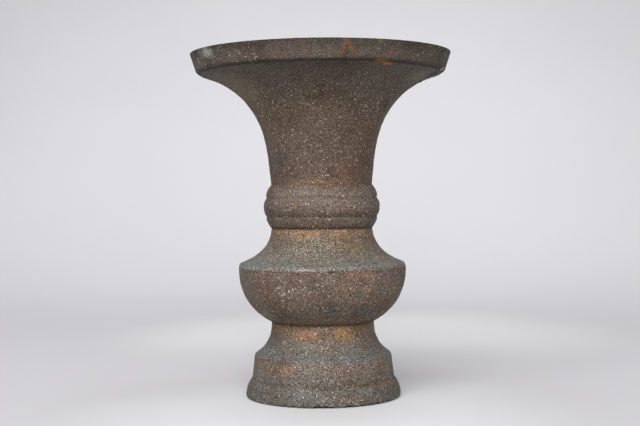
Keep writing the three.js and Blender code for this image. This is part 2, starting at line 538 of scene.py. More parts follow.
@dataclass(frozen=True)
class Mark(Spot):
    """A dent that was worn or knocked in, or a crust that stands out.

    Attributes:
        depth: How far it goes in, or out where negative.
        name: What it is.
    """

    depth: float
    name: str

    def press(self, piece: Piece) -> None:
        """Presses the mark into a piece.

        Args:
            piece: The piece.
        """
        turn = Matrix.Rotation(self.facing(), 3, "Z")
        turn @= Matrix.Rotation(math.radians(self.lean), 3, "Y")
        local = (vertex_places(piece) - np.array(self.centre())) @ np.array(turn)
        away = np.linalg.norm(local / np.array(self.half_sizes()), axis=1)
        near = np.clip(1.0 - away, 0.0, 1.0)
        weigh(piece, self.name, near * near * (3.0 - 2.0 * near))
        displace(piece, self.name, -self.depth)


def srgb(shade: str) -> Colour:
    """The linear colour that a shader takes.

    Args:
        shade: The display colour, written as rrggbb.

    Returns:
        Its channels, with full cover.
    """
    def linear(value: float) -> float:
        """One channel, from display to linear."""
        return value / 12.92 if value <= 0.04045 else ((value + 0.055) / 1.055) ** 2.4
    red, green, blue = (linear(channel / 255) for channel in bytes.fromhex(shade))
    return (red, green, blue, 1.0)


class Graph:
    """A node tree, with short calls that add nodes and join them."""

    def __init__(self, tree: bpy.types.NodeTree) -> None:
        """Takes the tree, as it is."""
        self.tree = tree

    def feed(self, target: Socket, source: Feed) -> None:
        """Joins a socket to its source, or gives it a value.

        Args:
            target: The socket, an input.
            source: The socket that feeds it, or its value.
        """
        if isinstance(source, Socket):
            self.tree.links.new(source, target)
        else:
            target.default_value = source

    def add(self, kind: str, *sources: Feed | None, **settings: object) -> bpy.types.Node:
        """Adds a node.

        Args:
            kind: The node's type.
            sources: What feeds its inputs, from the first on; none leaves one as it is.
            settings: Its properties.

        Returns:
            The node.
        """
        node = self.tree.nodes.new(kind)
        for name, value in settings.items():
            setattr(node, name, value)
        for target, source in zip(node.inputs, sources):
            if source is not None:
                self.feed(target, source)
        return node

    def sum(self, operation: str, first: Feed, second: Feed = 0.0) -> Socket:
        """The result of a calculation with one or two numbers."""
        return self.add("ShaderNodeMath", first, second, operation=operation).outputs[0]

    def plus(self, first: Feed, second: Feed) -> Socket:
        """The sum of two numbers."""
        return self.sum("ADD", first, second)

    def minus(self, first: Feed, second: Feed) -> Socket:
        """The difference of two numbers."""
        return self.sum("SUBTRACT", first, second)

    def times(self, first: Feed, second: Feed) -> Socket:
        """The product of two numbers."""
        return self.sum("MULTIPLY", first, second)

    def level(self, place: Feed) -> Socket:
        """The height of a place, in metres."""
        return self.add("ShaderNodeSeparateXYZ", place).outputs["Z"]

    def spread(
        self,
        value: Feed,
        bottom: Feed,
        top: Feed,
        first: float = 0.0,
        last: float = 1.0,
        way: str = "SMOOTHSTEP",
    ) -> Socket:
        """A value spread from one range over another.

        Args:
            value: The value.
            bottom: The value that becomes first.
            top: The value that becomes last.
            first: The result at the bottom.
            last: The result at the top.
            way: How the result runs between them.

        Returns:
            The result's socket.
        """
        feeds = (value, bottom, top, first, last)
        return self.add("ShaderNodeMapRange", *feeds, interpolation_type=way).outputs["Result"]

    def noise(
        self,
        place: Feed,
        scale: float,
        detail: float = 2.0,
        roughness: float = 0.5,
        distortion: float = 0.0,
    ) -> Socket:
        """A noise's value, near a half on average.

        Args:
            place: The coordinates.
            scale: Swells in a millimetre.
            detail: Octaves.
            roughness: The share that each finer octave keeps.
            distortion: How far the noise is bent.

        Returns:
            The value's socket.
        """
        node = self.add("ShaderNodeTexNoise", place, None, scale / MM, detail, roughness)
        node.inputs["Distortion"].default_value = distortion
        return node.outputs["Fac"]

    def cells(self, place: Feed, scale: float) -> tuple[bpy.types.NodeOutputs, Socket]:
        """Random cells.

        Args:
            place: The coordinates.
            scale: Cells in a millimetre.

        Returns:
            The cell's random numbers, and how far its middle is.
        """
        node = self.add("ShaderNodeTexVoronoi", place, None, scale / MM, feature="F1")
        chances = self.add("ShaderNodeSeparateColor", node.outputs["Color"]).outputs
        return chances, node.outputs["Distance"]

    def blend(self, mask: Feed, first: Feed, second: Feed, way: str = "MIX") -> Socket:
        """Two colours mixed by a mask.

        Args:
            mask: The share of the second colour.
            first: The colour below.
            second: The colour on top.
            way: How they mix.

        Returns:
            The mixed colour's socket.
        """
        node = self.add("ShaderNodeMix", mask, data_type="RGBA", blend_type=way)
        self.feed(node.inputs[MIX_FIRST], first)
        self.feed(node.inputs[MIX_SECOND], second)
        return node.outputs[MIX_RESULT]

    def group(self, tree: bpy.types.NodeTree, **feeds: Feed) -> bpy.types.NodeOutputs:
        """Places a node group.

        Args:
            tree: The group.
            feeds: What feeds its inputs, by their names in small letters.

        Returns:
            Its outputs.
        """
        node = self.add("ShaderNodeGroup", node_tree=tree)
        for name, source in feeds.items():
            self.feed(node.inputs[name.capitalize()], source)
        return node.outputs


class Effect:
    """An effect that several patinas share, kept as a node group."""

    def __init__(self, name: str, inputs: Sequence[str], outputs: Sequence[str]) -> None:
        """Makes the empty group.

        Args:
            name: The group's name.
            inputs: The names of the inputs, which are values apart from the coordinates.
            outputs: The names of the outputs, which are all values.
        """
        self.tree = bpy.data.node_groups.new(name, "ShaderNodeTree")
        for label in inputs:
            kind = "NodeSocketVector" if label in ("Place", "Local") else "NodeSocketFloat"
            self.tree.interface.new_socket(label, in_out="INPUT", socket_type=kind)
        for label in outputs:
            self.tree.interface.new_socket(label, in_out="OUTPUT", socket_type="NodeSocketFloat")
        self.graph = Graph(self.tree)
        self.given = self.graph.add("NodeGroupInput").outputs
        self.results = self.graph.add("NodeGroupOutput").inputs

    def give(self, **values: Feed) -> bpy.types.NodeTree:
        """Feeds the outputs.

        Args:
            values: What feeds them, by their names in small letters.

        Returns:
            The finished group.
        """
        for name, value in values.items():
            self.graph.feed(self.results[name.capitalize()], value)
        return self.tree


def sand_grain() -> bpy.types.NodeTree:
    """Sand-cast grain: each grain's lightness with painted glints, wider mottling, pits and height.

    Returns:
        The node group.
    """
    effect = Effect("sand_grain", ("Place",), ("Grain", "Mottle", "Pits", "Height"))
    graph, place = effect.graph, effect.given["Place"]
    lightness = graph.cells(place, 1 / GRAIN_SIZE)[0][0]
    glint = graph.times(graph.sum("POWER", lightness, GLINT_POWER), GLINT)
    wide = graph.noise(place, MOTTLE_SCALE, detail=3.0, distortion=0.4)
    fine = graph.noise(place, GRIT_SCALE, detail=1.5, roughness=0.65)
    pits = graph.spread(graph.cells(place, PIT_SCALE)[1], *PIT_FADE, 1.0, 0.0)
    height = graph.plus(fine, graph.times(wide, MOTTLE_RISE))
    height = graph.plus(height, graph.times(lightness, GRAIN_RISE))
    return effect.give(
        grain=graph.plus(graph.times(lightness, GRAIN_SPAN), glint),
        mottle=graph.spread(wide, *MOTTLE_RANGE),
        pits=pits,
        height=graph.plus(height, graph.times(pits, PIT_RISE)),
    )


def pale_specks_and_glints() -> bpy.types.NodeTree:
    """Pale grains of bare or crusted metal, their near-white colour a painted glint too, as a mask.

    Returns:
        The node group.
    """
    effect = Effect("pale_specks_and_glints", ("Place", "Share"), ("Mask",))
    graph = effect.graph
    chances, away = graph.cells(effect.given["Place"], 1 / SPECK_SIZE)
    chosen = graph.sum("LESS_THAN", chances[0], effect.given["Share"])
    radius = graph.spread(chances[1], 0.0, 1.0, *SPECK_RADII)
    return effect.give(mask=graph.times(chosen, graph.sum("LESS_THAN", away, radius)))


def ragged_patch() -> bpy.types.NodeTree:
    """A ragged-edged patch (stains, painted shade, painted light) in the unit ball of its own
    coordinates, as a mask.

    Returns:
        The node group.
    """
    effect = Effect("ragged_patch", ("Local", "Place", "Grain", "Ragged"), ("Mask",))
    graph, given = effect.graph, effect.given
    away = graph.add("ShaderNodeVectorMath", given["Local"], operation="LENGTH").outputs["Value"]
    wide = graph.noise(given["Place"], TEAR_SCALE, detail=5.0, roughness=0.75)
    torn = graph.times(graph.minus(wide, 0.5), TEAR)
    gritty = graph.times(graph.minus(given["Grain"], GRAIN_LEVEL), GRAIN_TEAR)
    edge = graph.times(graph.plus(torn, gritty), given["Ragged"])
    return effect.give(mask=graph.spread(graph.plus(away, edge), *EDGE_FADE, 1.0, 0.0))


def painted_shade_line() -> bpy.types.NodeTree:
    """A line round the vase at a level, broken up by noise, as a mask: painted shade along creases,
    grooves and edges.

    Returns:
        The node group.
    """
    effect = Effect("painted_shade_line", ("Place", "Level", "Width", "Breaks"), ("Mask",))
    graph, given = effect.graph, effect.given
    place = given["Place"]
    sway = graph.times(graph.minus(graph.noise(place, BEND_SCALE), 0.5), given["Width"])
    height = graph.plus(graph.sum("DIVIDE", graph.level(place), MM), sway)
    away = graph.sum("ABSOLUTE", graph.minus(height, given["Level"]))
    line = graph.spread(graph.sum("DIVIDE", away, given["Width"]), *LINE_FADE, 1.0, 0.0)
    gaps = graph.spread(graph.noise(place, BREAK_SCALE, detail=3.0), *BREAK_RANGE)
    return effect.give(mask=graph.times(line, graph.minus(1.0, graph.times(gaps, given["Breaks"]))))


class Effects:
    """The shared node groups, each built once, and the materials built with them."""

    def __init__(self) -> None:
        """Builds the groups."""
        self.finishes: dict[str, bpy.types.Material] = {}
        self.grain = sand_grain()
        self.specks = pale_specks_and_glints()
        self.patch = ragged_patch()
        # The painted shade along creases, grooves and edges
        self.line = painted_shade_line()


@dataclass(frozen=True)
class Ground:
    """What the layers of one patina share.

    Attributes:
        graph: The material's nodes.
        effects: The shared node groups.
        place: The coordinates.
        grain: The outputs of the sand grain.
    """

    graph: Graph
    effects: Effects
    place: Socket
    grain: bpy.types.NodeOutputs


@dataclass(frozen=True)
class Patch(Spot):
    """A patch of colour on the skin: stains mostly, and painted shade and painted light at the crack,
    the gaps and the ridge.

    Attributes:
        shade: Its display colour.
        strength: How much it covers; above 1 its edge is sharper too.
        ragged: How uneven its edge is.
    """

    shade: str
    strength: float = 0.7
    ragged: float = 0.8

    def mask(self, ground: Ground) -> Socket:
        """How much of the skin the patch covers, at each place.

        Args:
            ground: What the layers share.

        Returns:
            The mask's socket.
        """
        graph = ground.graph
        local = graph.add(
            "ShaderNodeMapping",
            ground.place,
            self.centre() * MM,
            (0.0, math.radians(self.lean), self.facing()),
            Vector(self.half_sizes()) * MM,
            vector_type="TEXTURE",
        )
        patch_mask = graph.group(
            ground.effects.patch,
            local=local.outputs["Vector"],
            place=ground.place,
            grain=ground.grain["Grain"],
            ragged=self.ragged,
        )
        return graph.times(patch_mask["Mask"], self.strength)


@dataclass(frozen=True)
class PaintedShadeLine:
    """A dark line of painted shade round the vase: in creases and grooves, under steps and along the
    bottom edge.

    Attributes:
        height: Its level.
        width: Its half width.
        shade: Its display colour.
        strength: How much it covers.
        breaks: How much of it is missing where it breaks.
    """

    height: float
    width: float
    shade: str
    strength: float = 0.7
    breaks: float = 0.3

    def mask(self, ground: Ground) -> Socket:
        """How much of the skin the line covers, at each place.

        Args:
            ground: What the layers share.

        Returns:
            The mask's socket.
        """
        painted_shade_mask = ground.graph.group(
            ground.effects.line,
            place=ground.place,
            level=self.height,
            width=self.width,
            breaks=self.breaks,
        )
        return ground.graph.times(painted_shade_mask["Mask"], self.strength)


@dataclass(frozen=True)
class Patina:
    """The finish of one casting, its colours written as display colours.

    Attributes:
        name: The material's name.
        bands: The colours of the skin at their levels, from the lowest up.
        warm: The colour of the warm clouds.
        warmth: How much the warm clouds cover.
        cool: The colour of the cool clouds.
        coolness: How much the cool clouds cover.
        grain: The contrast of the sand grain.
        relief: The depth of the grain.
        grain_fade: The levels between which the specks fade upwards.
        specks: The share of the grains that are pale, with a painted glint in their colour.
        roughness: The roughness between grains.
        metal: How metallic the skin is.
        patches: The stains, and the painted shade, shadow and highlight at the crack, the foot's gaps
            and the ridge.
        crusts: The places where the specks crowd together.
        painted_shade_lines: Dark bands of painted shade in creases, grooves and steps, and along the
            foot's bottom edge.
    """

    name: str
    bands: dict[float, str]
    warm: str
    warmth: float
    cool: str
    coolness: float
    grain: float = 1.0
    relief: float = 0.16
    grain_fade: tuple[float, float] = (300.0, 400.0)
    specks: float = 0.06
    roughness: float = 0.62
    metal: float = 0.25
    patches: tuple[Patch, ...] = ()
    crusts: tuple[Patch, ...] = ()
    painted_shade_lines: tuple[PaintedShadeLine, ...] = ()

    def material(self, effects: Effects) -> bpy.types.Material:
        """Builds the material, or takes it where another casting has it already.

        Args:
            effects: The shared node groups.

        Returns:
            The material.
        """
        if self.name in effects.finishes:
            return effects.finishes[self.name]
        material = bpy.data.materials.new(self.name)
        material.use_nodes = True
        material.node_tree.nodes.clear()
        graph = Graph(material.node_tree)
        place = graph.add("ShaderNodeTexCoord").outputs["Object"]
        grain = graph.group(effects.grain, place=place)
        ground = Ground(graph, effects, place, grain)
        colour = self.clouds(ground)
        # The patches, then the painted shade along creases, grooves and edges
        for layer in (*self.patches, *self.painted_shade_lines):
            colour = graph.blend(layer.mask(ground), colour, srgb(layer.shade))
        start, end = (height * MM for height in self.grain_fade)
        fade = graph.spread(graph.level(place), start, end, 1.0, 0.0)
        strength = graph.plus(graph.times(fade, 1.0 - BARE_GRAIN), BARE_GRAIN)
        colour = self.grained(ground, colour, strength)
        # Pale specks, their near-white colour also a painted glint
        share, tint = graph.times(fade, self.specks), srgb(PALE_SPECK_AND_GLINT)
        for crust in self.crusts:
            mask = crust.mask(ground)
            share = graph.plus(share, mask)
            tint = graph.blend(mask, tint, srgb(crust.shade))
        specks = graph.group(effects.specks, place=place, share=share)["Mask"]
        rough = graph.times(graph.minus(grain["Mottle"], 0.5), MOTTLE_ROUGHNESS)
        rough = graph.plus(rough, self.roughness)
        bump = graph.add("ShaderNodeBump", 1.0, self.relief * MM)
        graph.feed(bump.inputs["Height"], grain["Height"])
        shader = graph.add("ShaderNodeBsdfPrincipled")
        for name, source in (
            ("Base Color", graph.blend(specks, colour, tint)),
            ("Metallic", self.metal),
            ("Specular IOR Level", SHEEN),
            ("Roughness", graph.minus(rough, graph.times(specks, SPECK_POLISH))),
            ("Normal", bump.outputs["Normal"]),
        ):
            graph.feed(shader.inputs[name], source)
        graph.add("ShaderNodeOutputMaterial", shader.outputs["BSDF"])
        effects.finishes[self.name] = material
        return material

    def clouds(self, ground: Ground) -> Socket:
        """The skin's colour by level, with warm and cool clouds over it.

        Args:
            ground: What the layers share.

        Returns:
            The colour's socket.
        """
        graph, place = ground.graph, ground.place
        bottom, top = min(self.bands), max(self.bands)
        sway = graph.minus(graph.noise(place, SWAY_SCALE, detail=3.0), 0.5)
        level = graph.plus(graph.level(place), graph.times(sway, BAND_SWAY * MM))
        share = graph.spread(level, bottom * MM, top * MM, way="LINEAR")
        ramp = graph.add("ShaderNodeValToRGB", share)
        points = ramp.color_ramp.elements
        points.remove(points[-1])
        points[0].color = srgb(self.bands[bottom])
        for height, shade in list(self.bands.items())[1:]:
            points.new((height - bottom) / (top - bottom)).color = srgb(shade)
        warm = graph.noise(place, WARM_SCALE, detail=5.0, roughness=CLOUD_ROUGHNESS)
        warm = graph.times(graph.spread(warm, *WARM_RANGE), self.warmth)
        colour = graph.blend(warm, ramp.outputs["Color"], srgb(self.warm), "SOFT_LIGHT")
        shifted = graph.add("ShaderNodeVectorMath", place, COOL_SHIFT, operation="ADD")
        cool = graph.noise(shifted.outputs["Vector"], COOL_SCALE, detail=5.0, roughness=CLOUD_ROUGHNESS)
        cool = graph.times(graph.spread(cool, *COOL_RANGE), self.coolness)
        return graph.blend(cool, colour, srgb(self.cool))

    def grained(self, ground: Ground, colour: Socket, strength: Socket) -> Socket:
        """The colour made lighter and darker by the grain, and dark in the pits.

        Args:
            ground: What the layers share.
            colour: The colour so far.
            strength: How strong the grain is at a level.

        Returns:
            The colour's socket.
        """
        graph, grain = ground.graph, ground.grain
        mottled = graph.times(graph.minus(grain["Mottle"], 0.5), MOTTLE)
        light = graph.plus(graph.minus(grain["Grain"], GRAIN_MEAN), mottled)
        light = graph.plus(light, graph.times(grain["Pits"], PIT))
        light = graph.plus(graph.times(light, graph.times(strength, self.grain)), 1.0)
        grey = graph.add("ShaderNodeCombineColor", light, light, light)
        return graph.blend(1.0, colour, grey.outputs[0], "MULTIPLY")


CAST_SKIN = (
    Relief(Mould.SWELL, 16.0, 0.34),
    Relief(Mould.SAND, 2.4, 0.48, detail=3),
)

# How the ridge wavers: its swells, how far inside the ridge they begin and how soon they are full,
# the level above the seam where they are strongest, and how far from that level they reach
RIDGE_WAVER = Relief(Mould.SWELL, 22.0, 1.1)
WAVER_INSET = 3.0
WAVER_FADE = 2.0
WAVER_LEVEL = 1.0
WAVER_SPAN = 6.0


@dataclass
class Casting:
    """A turned section of the vase.

    Attributes:
        name: The piece's name.
        node: The frame node that it stands for.
        slot: The record's material slot, which is not used.
        patina: Its finish.
        segments: Facets round the axis.
        reliefs: The unevenness of its skin.
        marks: Its local marks.
        closed: Whether its outline's end joins its start, away from the axis.
        at_ridge: Whether it meets the ridge, which wavers.
    """

    name: str
    node: str
    slot: str
    patina: Patina
    segments: int
    reliefs: tuple[Relief, ...] = CAST_SKIN
    marks: tuple[Mark, ...] = ()
    closed: bool = True
    at_ridge: bool = False

    def outline(self) -> Outline:
        """The section's outline, from the outside up to the inside down."""
        raise NotImplementedError

    def build(self) -> Piece:
        """Turns the section and presses its relief and marks into it.

        Returns:
            The finished mesh object.
        """
        piece = turned(self.name, self.outline(), self.segments, self.closed)
        for relief in self.reliefs:
            relief.press(piece)
        if self.at_ridge:
            self.waver(piece)
        for mark in self.marks:
            mark.press(piece)
        piece.vertex_groups.clear()
        select_only(piece)
        bpy.ops.object.shade_smooth_by_angle(angle=math.radians(SMOOTH_ANGLE))
        return piece

    @staticmethod
    def waver(piece: Piece) -> None:
        """Makes the ridge rise and fall a little, alike on both castings that meet at it.

        Args:
            piece: The casting.
        """
        places = vertex_places(piece)
        inset = np.hypot(places[:, 0], places[:, 1]) - reach("shoulder") + WAVER_INSET
        above = np.abs(places[:, 2] - low("shoulder") - WAVER_LEVEL)
        near = np.clip(inset / WAVER_FADE, 0, 1) * np.clip(1.0 - above / WAVER_SPAN, 0, 1)
        weigh(piece, "ridge", near)
        RIDGE_WAVER.press(piece, "ridge", "Z")

    def dress(self, piece: Piece, effects: Effects) -> None:
        """Gives the section its patina and its place in the frame.

        Args:
            piece: The built section.
            effects: The shared node groups.
        """
        piece.data.materials.append(self.patina.material(effects))
        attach(piece, BODY)
        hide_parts(self.node)


@dataclass
class Foot(Casting):
    """The foot: contact ring, rounded base, tapered band and hollow stem."""

    edge_height: float = 1.4
    edge_setback: float = 1.3
    floor_clearance: float = 0.5
    moulding_height: float = 11.2
    moulding_reach: float = 3.75
    band_height: float = 13.4
    band_taper: float = 1.45
    stem_radius: float = 29.9
    wall: float = 3.4
    ring_width: float = 6.6
    socket_radius: float = 25.7
    socket_depth: float = 5.0
    step_rounding: float = 0.7
    edge_sweep: Sweep = Sweep((0.55, 0.0), (0.0, 0.55))
    moulding_sweep: Sweep = Sweep((0.0, 0.55), (0.35, 0.15))
    stem_sweep: Sweep = Sweep((0.08, 0.09), (0.0, 0.77))

    def outline(self) -> Outline:
        """The foot's outline, whose relief stops short of the floor.

        Returns:
            The outline.
        """
        radius, top = reach(self.node), high(self.node)
        band_radius = radius - self.moulding_reach
        band_top = self.moulding_height + self.band_height
        step = Vector((band_radius - self.band_taper, band_top))
        stem = self.stem_sweep.points(step, Vector((self.stem_radius, top)), FINE)
        socket_floor = top - self.socket_depth
        inside = inner_side(stem, (self.wall, self.wall), band_top, socket_floor)
        line = Outline(radius - self.edge_setback, 0.0)
        line.to(radius, self.edge_height, SMALL, EDGE, sweep=self.edge_sweep)
        line.to(band_radius, self.moulding_height, FINE, sweep=self.moulding_sweep)
        line.to(step.x, step.y, FINE)
        line.follow(stem[1:], rounding=self.step_rounding)
        line.seat(self.socket_radius, top)
        line.seat(self.socket_radius, socket_floor, COARSE)
        line.seat(inside[0].x, socket_floor, COARSE)
        line.follow(inside, INNER)
        line.to(step.x - self.wall, band_top - self.wall / 2, relief=INNER)
        line.to(band_radius - self.wall, self.moulding_height, relief=INNER)
        line.to(radius - self.ring_width, 0.0, relief=INNER)
        line.seat(radius - self.edge_setback - PLAIN, 0.0)
        line.stops = [
            replace(stop, relief=SEAT) if stop.height < self.floor_clearance else stop
            for stop in line.stops
        ]
        return line


@dataclass
class Bowl(Casting):
    """The bowl: lower half of the belly, with its spigot, ledge and register."""

    at_ridge: bool = True
    stem_radius: float = 29.9
    wall: float = 3.7
    spigot_radius: float = 25.4
    spigot_bore: float = 22.4
    floor_seat: float = 26.9
    stem_top: float = 43.8
    register_radius: float = 44.95
    register_bore: float = 43.25
    register_height: float = 1.2
    register_root: float = 4.0
    seam_rounding: float = 0.3
    sweep: Sweep = Sweep((0.74, 0.235), (0.0, 0.39))

    def outline(self) -> Outline:
        """The bowl's outline.

        Returns:
            The outline.
        """
        bottom, top = low(self.node), high(self.node)
        seam = top - self.register_height
        floor_level, floor_top = low("floor_disc"), high("floor_disc")
        foot = Vector((self.stem_radius, self.stem_top))
        side = self.sweep.points(foot, Vector((reach(self.node), seam)), FINE)
        inside = inner_side(side, (self.wall, self.wall), floor_top, seam - self.register_root)
        line = Outline(self.spigot_radius, bottom)
        line.seat(self.spigot_radius, self.stem_top, COARSE)
        line.seat(self.stem_radius, self.stem_top)
        line.follow(side)
        line.to(self.register_radius, seam, TINY, SEAT, self.seam_rounding)
        line.seat(self.register_radius, top)
        line.seat(self.register_bore, top)
        line.seat(self.register_bore, seam - self.register_height)
        line.follow(inside, INNER)
        line.to(self.floor_seat, floor_top, relief=EDGE)
        line.seat(self.floor_seat, floor_level)
        line.seat(self.spigot_bore, floor_level, COARSE)
        line.to(self.spigot_bore, bottom, relief=EDGE)
        line.seat(self.spigot_radius - FINE, bottom)
        return line


@dataclass
class Shoulder(Casting):
    """The shoulder: the ridge and the hollow-curved upper half of the belly."""

    at_ridge: bool = True
    ridge_height: float = 2.4
    ridge_setback: float = 0.6
    root_radius: float = 29.5
    wall: float = 3.4
    socket_radius: float = 25.6
    socket_depth: float = 5.0
    register_radius: float = 45.25
    seat_rise: float = 1.5
    edge_rounding: float = 0.25
    crest_rounding: float = 0.5
    sweep: Sweep = Sweep((0.03, 0.06), (0.05, 0.79))

    def outline(self) -> Outline:
        """The shoulder's outline.

        Returns:
            The outline.
        """
        seam, top, ridge = low(self.node), high(self.node), reach(self.node)
        crest = Vector((ridge - self.ridge_setback, seam + self.ridge_height))
        side = self.sweep.points(crest, Vector((self.root_radius, top)), FINE)
        seat, socket_floor = seam + self.seat_rise, top - self.socket_depth
        inside = inner_side(side, (self.wall, self.wall), seat, socket_floor)
        line = Outline(ridge - FINE, seam)
        line.to(ridge, seam, TINY, EDGE)
        middle = seam + self.ridge_height / 2
        line.to(ridge - self.ridge_setback / 4, middle, SMALL, SKIN, self.edge_rounding)
        line.to(crest.x, crest.y, SMALL)
        line.follow(side[1:], rounding=self.crest_rounding)
        line.seat(self.socket_radius, top)
        line.seat(self.socket_radius, socket_floor, COARSE)
        line.seat(inside[0].x, socket_floor, COARSE)
        line.follow(inside, INNER)
        line.seat(self.register_radius, seat)
        line.seat(self.register_radius, seam)
        line.seat(ridge - 2 * FINE, seam)
        return line


@dataclass
class Collar(Casting):
    """The collar: a quarter round, a bulging middle and a quarter round, parted by grooves."""

    root_radius: float = 29.5
    bore_radius: float = 25.6
    groove_reach: float = 3.1
    bulge: float = 4.5
    lower_height: float = 6.5
    upper_height: float = 7.4
    groove_depth: float = 0.4
    groove_width: float = 0.8
    groove_rounding: float = 0.6
    moulding_rounding: float = 0.35
    lower_sweep: Sweep = Sweep((0.45, 0.22), (0.25, 0.35))
    rising_sweep: Sweep = Sweep((0.8, 0.4), (0.0, 0.4))
    falling_sweep: Sweep = Sweep((0.0, 0.6), (0.6, 0.2))
    upper_sweep: Sweep = Sweep((0.02, 0.45), (0.4, 0.2))

    def outline(self) -> Outline:
        """The collar's outline.

        Returns:
            The outline.
        """
        bottom, top = low(self.node), high(self.node)
        lower, upper = bottom + self.lower_height, top - self.upper_height
        shoulder = self.root_radius + self.groove_reach
        groove = shoulder - self.groove_depth
        bulge, middle = self.root_radius + self.bulge, (lower + upper) / 2
        line = Outline(self.root_radius, bottom, EDGE)
        line.to(shoulder, lower - self.groove_width, NARROW, sweep=self.lower_sweep)
        line.to(groove, lower, TINY, EDGE, self.groove_rounding)
        line.to(shoulder, lower + self.groove_width, TINY)
        line.to(bulge, middle, NARROW, SKIN, self.moulding_rounding, self.rising_sweep)
        line.to(shoulder, upper - self.groove_width, NARROW, sweep=self.falling_sweep)
        line.to(groove, upper, TINY, EDGE, self.groove_rounding)
        line.to(shoulder, upper + self.groove_width, TINY)
        line.to(self.root_radius, top, NARROW, SKIN, self.moulding_rounding, self.upper_sweep)
        line.seat(self.bore_radius, top)
        line.seat(self.bore_radius, bottom, COARSE)
        line.seat(self.root_radius - PLAIN, bottom)
        return line


@dataclass
class Neck(Casting):
    """The trumpet neck: spigot, slim shaft and wide flare up to the brim's seat."""

    root_radius: float = 29.5
    spigot_radius: float = 25.3
    spigot_bore: float = 22.3
    shaft_top_radius: float = 39.0
    shaft_height: float = 41.2
    brim_radius: float = 70.9
    brim_gap: float = 0.3
    wall: float = 3.6
    brim_wall: float = 2.9
    seat_width: float = 4.6
    root_lean: float = 0.088
    flare_lean: float = 0.6
    brim_lean: float = 1.5
    root_pull: float = 0.46
    shaft_top_pull: float = 0.26
    flare_start_pull: float = 0.84
    brim_pull: float = 0.07
    row_step: float = 0.75

    def side(self) -> list[Vector]:
        """The outer side from the collar to the brim.

        Returns:
            Its points, running upwards.
        """
        root = Vector((self.root_radius, high("collar_ring")))
        waist = Vector((self.shaft_top_radius, root.y + self.shaft_height))
        brim = Vector((self.brim_radius, low("lip_band")))
        shaft, flare = self.shaft_height, brim.y - waist.y
        flaring = Vector((self.flare_lean, 1.0))
        leave = root + Vector((self.root_lean, 1.0)) * shaft * self.root_pull
        slow = waist - flaring * shaft * self.shaft_top_pull
        away = waist + flaring * flare * self.flare_start_pull
        arrive = brim - Vector((self.brim_lean, 1.0)) * flare * self.brim_pull
        lower = spline(root, leave, slow, waist, self.row_step)
        return lower + spline(waist, away, arrive, brim, self.row_step)[1:]

    def outline(self) -> Outline:
        """The neck's outline.

        Returns:
            The outline.
        """
        bottom, seat, root_level = low(self.node), high(self.node), high("collar_ring")
        edge = self.brim_radius - self.brim_gap
        side = self.side()
        outside = [point for point in side if point.x < edge]
        walls = (self.wall, self.brim_wall)
        inside = inner_side(side, walls, root_level + self.wall, seat, edge - self.seat_width)
        line = Outline(self.spigot_radius, bottom)
        line.seat(self.spigot_radius, root_level, COARSE)
        line.seat(outside[0].x, outside[0].y)
        line.follow(outside)
        line.to(edge, outside[-1].y, SMALL, EDGE)
        line.seat(edge, seat)
        line.seat(edge - self.seat_width, seat)
        line.follow(inside, INNER)
        line.to(self.spigot_bore, root_level - self.wall, relief=INNER)
        line.to(self.spigot_bore, bottom, COARSE, EDGE)
        line.seat(self.spigot_radius - FINE, bottom)
        return line


@dataclass
class Lip(Casting):
    """The lip: an upright band whose skirt covers the brim's edge."""

    edge_height: float = 2.1
    splay: float = 3.15
    edge_reach: float = 2.2
    wall: float = 3.3
    edge_rounding: float = 0.6
    top_rounding: float = 0.4
    ledge_rounding: float = 0.9
    seat_rise: float = 3.1
    ledge_width: float = 2.6
    ledge_height: float = 1.6
    ledge_rise: float = 1.4
    edge_sweep: Sweep = Sweep((0.5, 0.2), (0.1, 0.5))

    def outline(self) -> Outline:
        """The lip's outline.

        Returns:
            The outline.
        """
        bottom, rim, radius = low(self.node), high(self.node), reach(self.node)
        edge_radius = radius - self.splay
        brim = edge_radius - self.edge_reach
        seat = bottom + self.seat_rise
        ledge = seat + self.ledge_height
        line = Outline(brim, bottom, EDGE)
        line.to(edge_radius, bottom + self.edge_height, SMALL, sweep=self.edge_sweep)
        line.to(radius, rim, SMALL, rounding=self.edge_rounding)
        line.to(radius - self.wall, rim, SMALL, rounding=self.top_rounding)
        line.to(brim, ledge + self.ledge_rise, NARROW, rounding=self.ledge_rounding)
        line.to(brim - self.ledge_width, ledge, NARROW, EDGE)
        line.seat(brim - self.ledge_width, seat)
        line.seat(brim, seat)
        line.seat(brim, bottom + PLAIN)
        return line


@dataclass
class FloorPlate(Casting):
    """The plate that closes the bottom of the vessel."""

    closed: bool = False
    rounding: float = 0.4

    def outline(self) -> Outline:
        """Half of the plate's section, from the axis and back to it.

        Returns:
            The outline.
        """
        bottom, top, radius = low(self.node), high(self.node), reach(self.node)
        line = Outline(0.0, bottom, EDGE)
        line.to(radius, bottom, relief=EDGE)
        line.to(radius, top, relief=SEAT, rounding=self.rounding)
        line.to(0.0, top, rounding=self.rounding)
        return line


class Corner(Enum):
    """Which way a bead of solder spreads from its corner: out or in, up or down."""

    OUT_UP = (1, 1)
    IN_UP = (-1, 1)
    OUT_DOWN = (1, -1)
    IN_DOWN = (-1, -1)


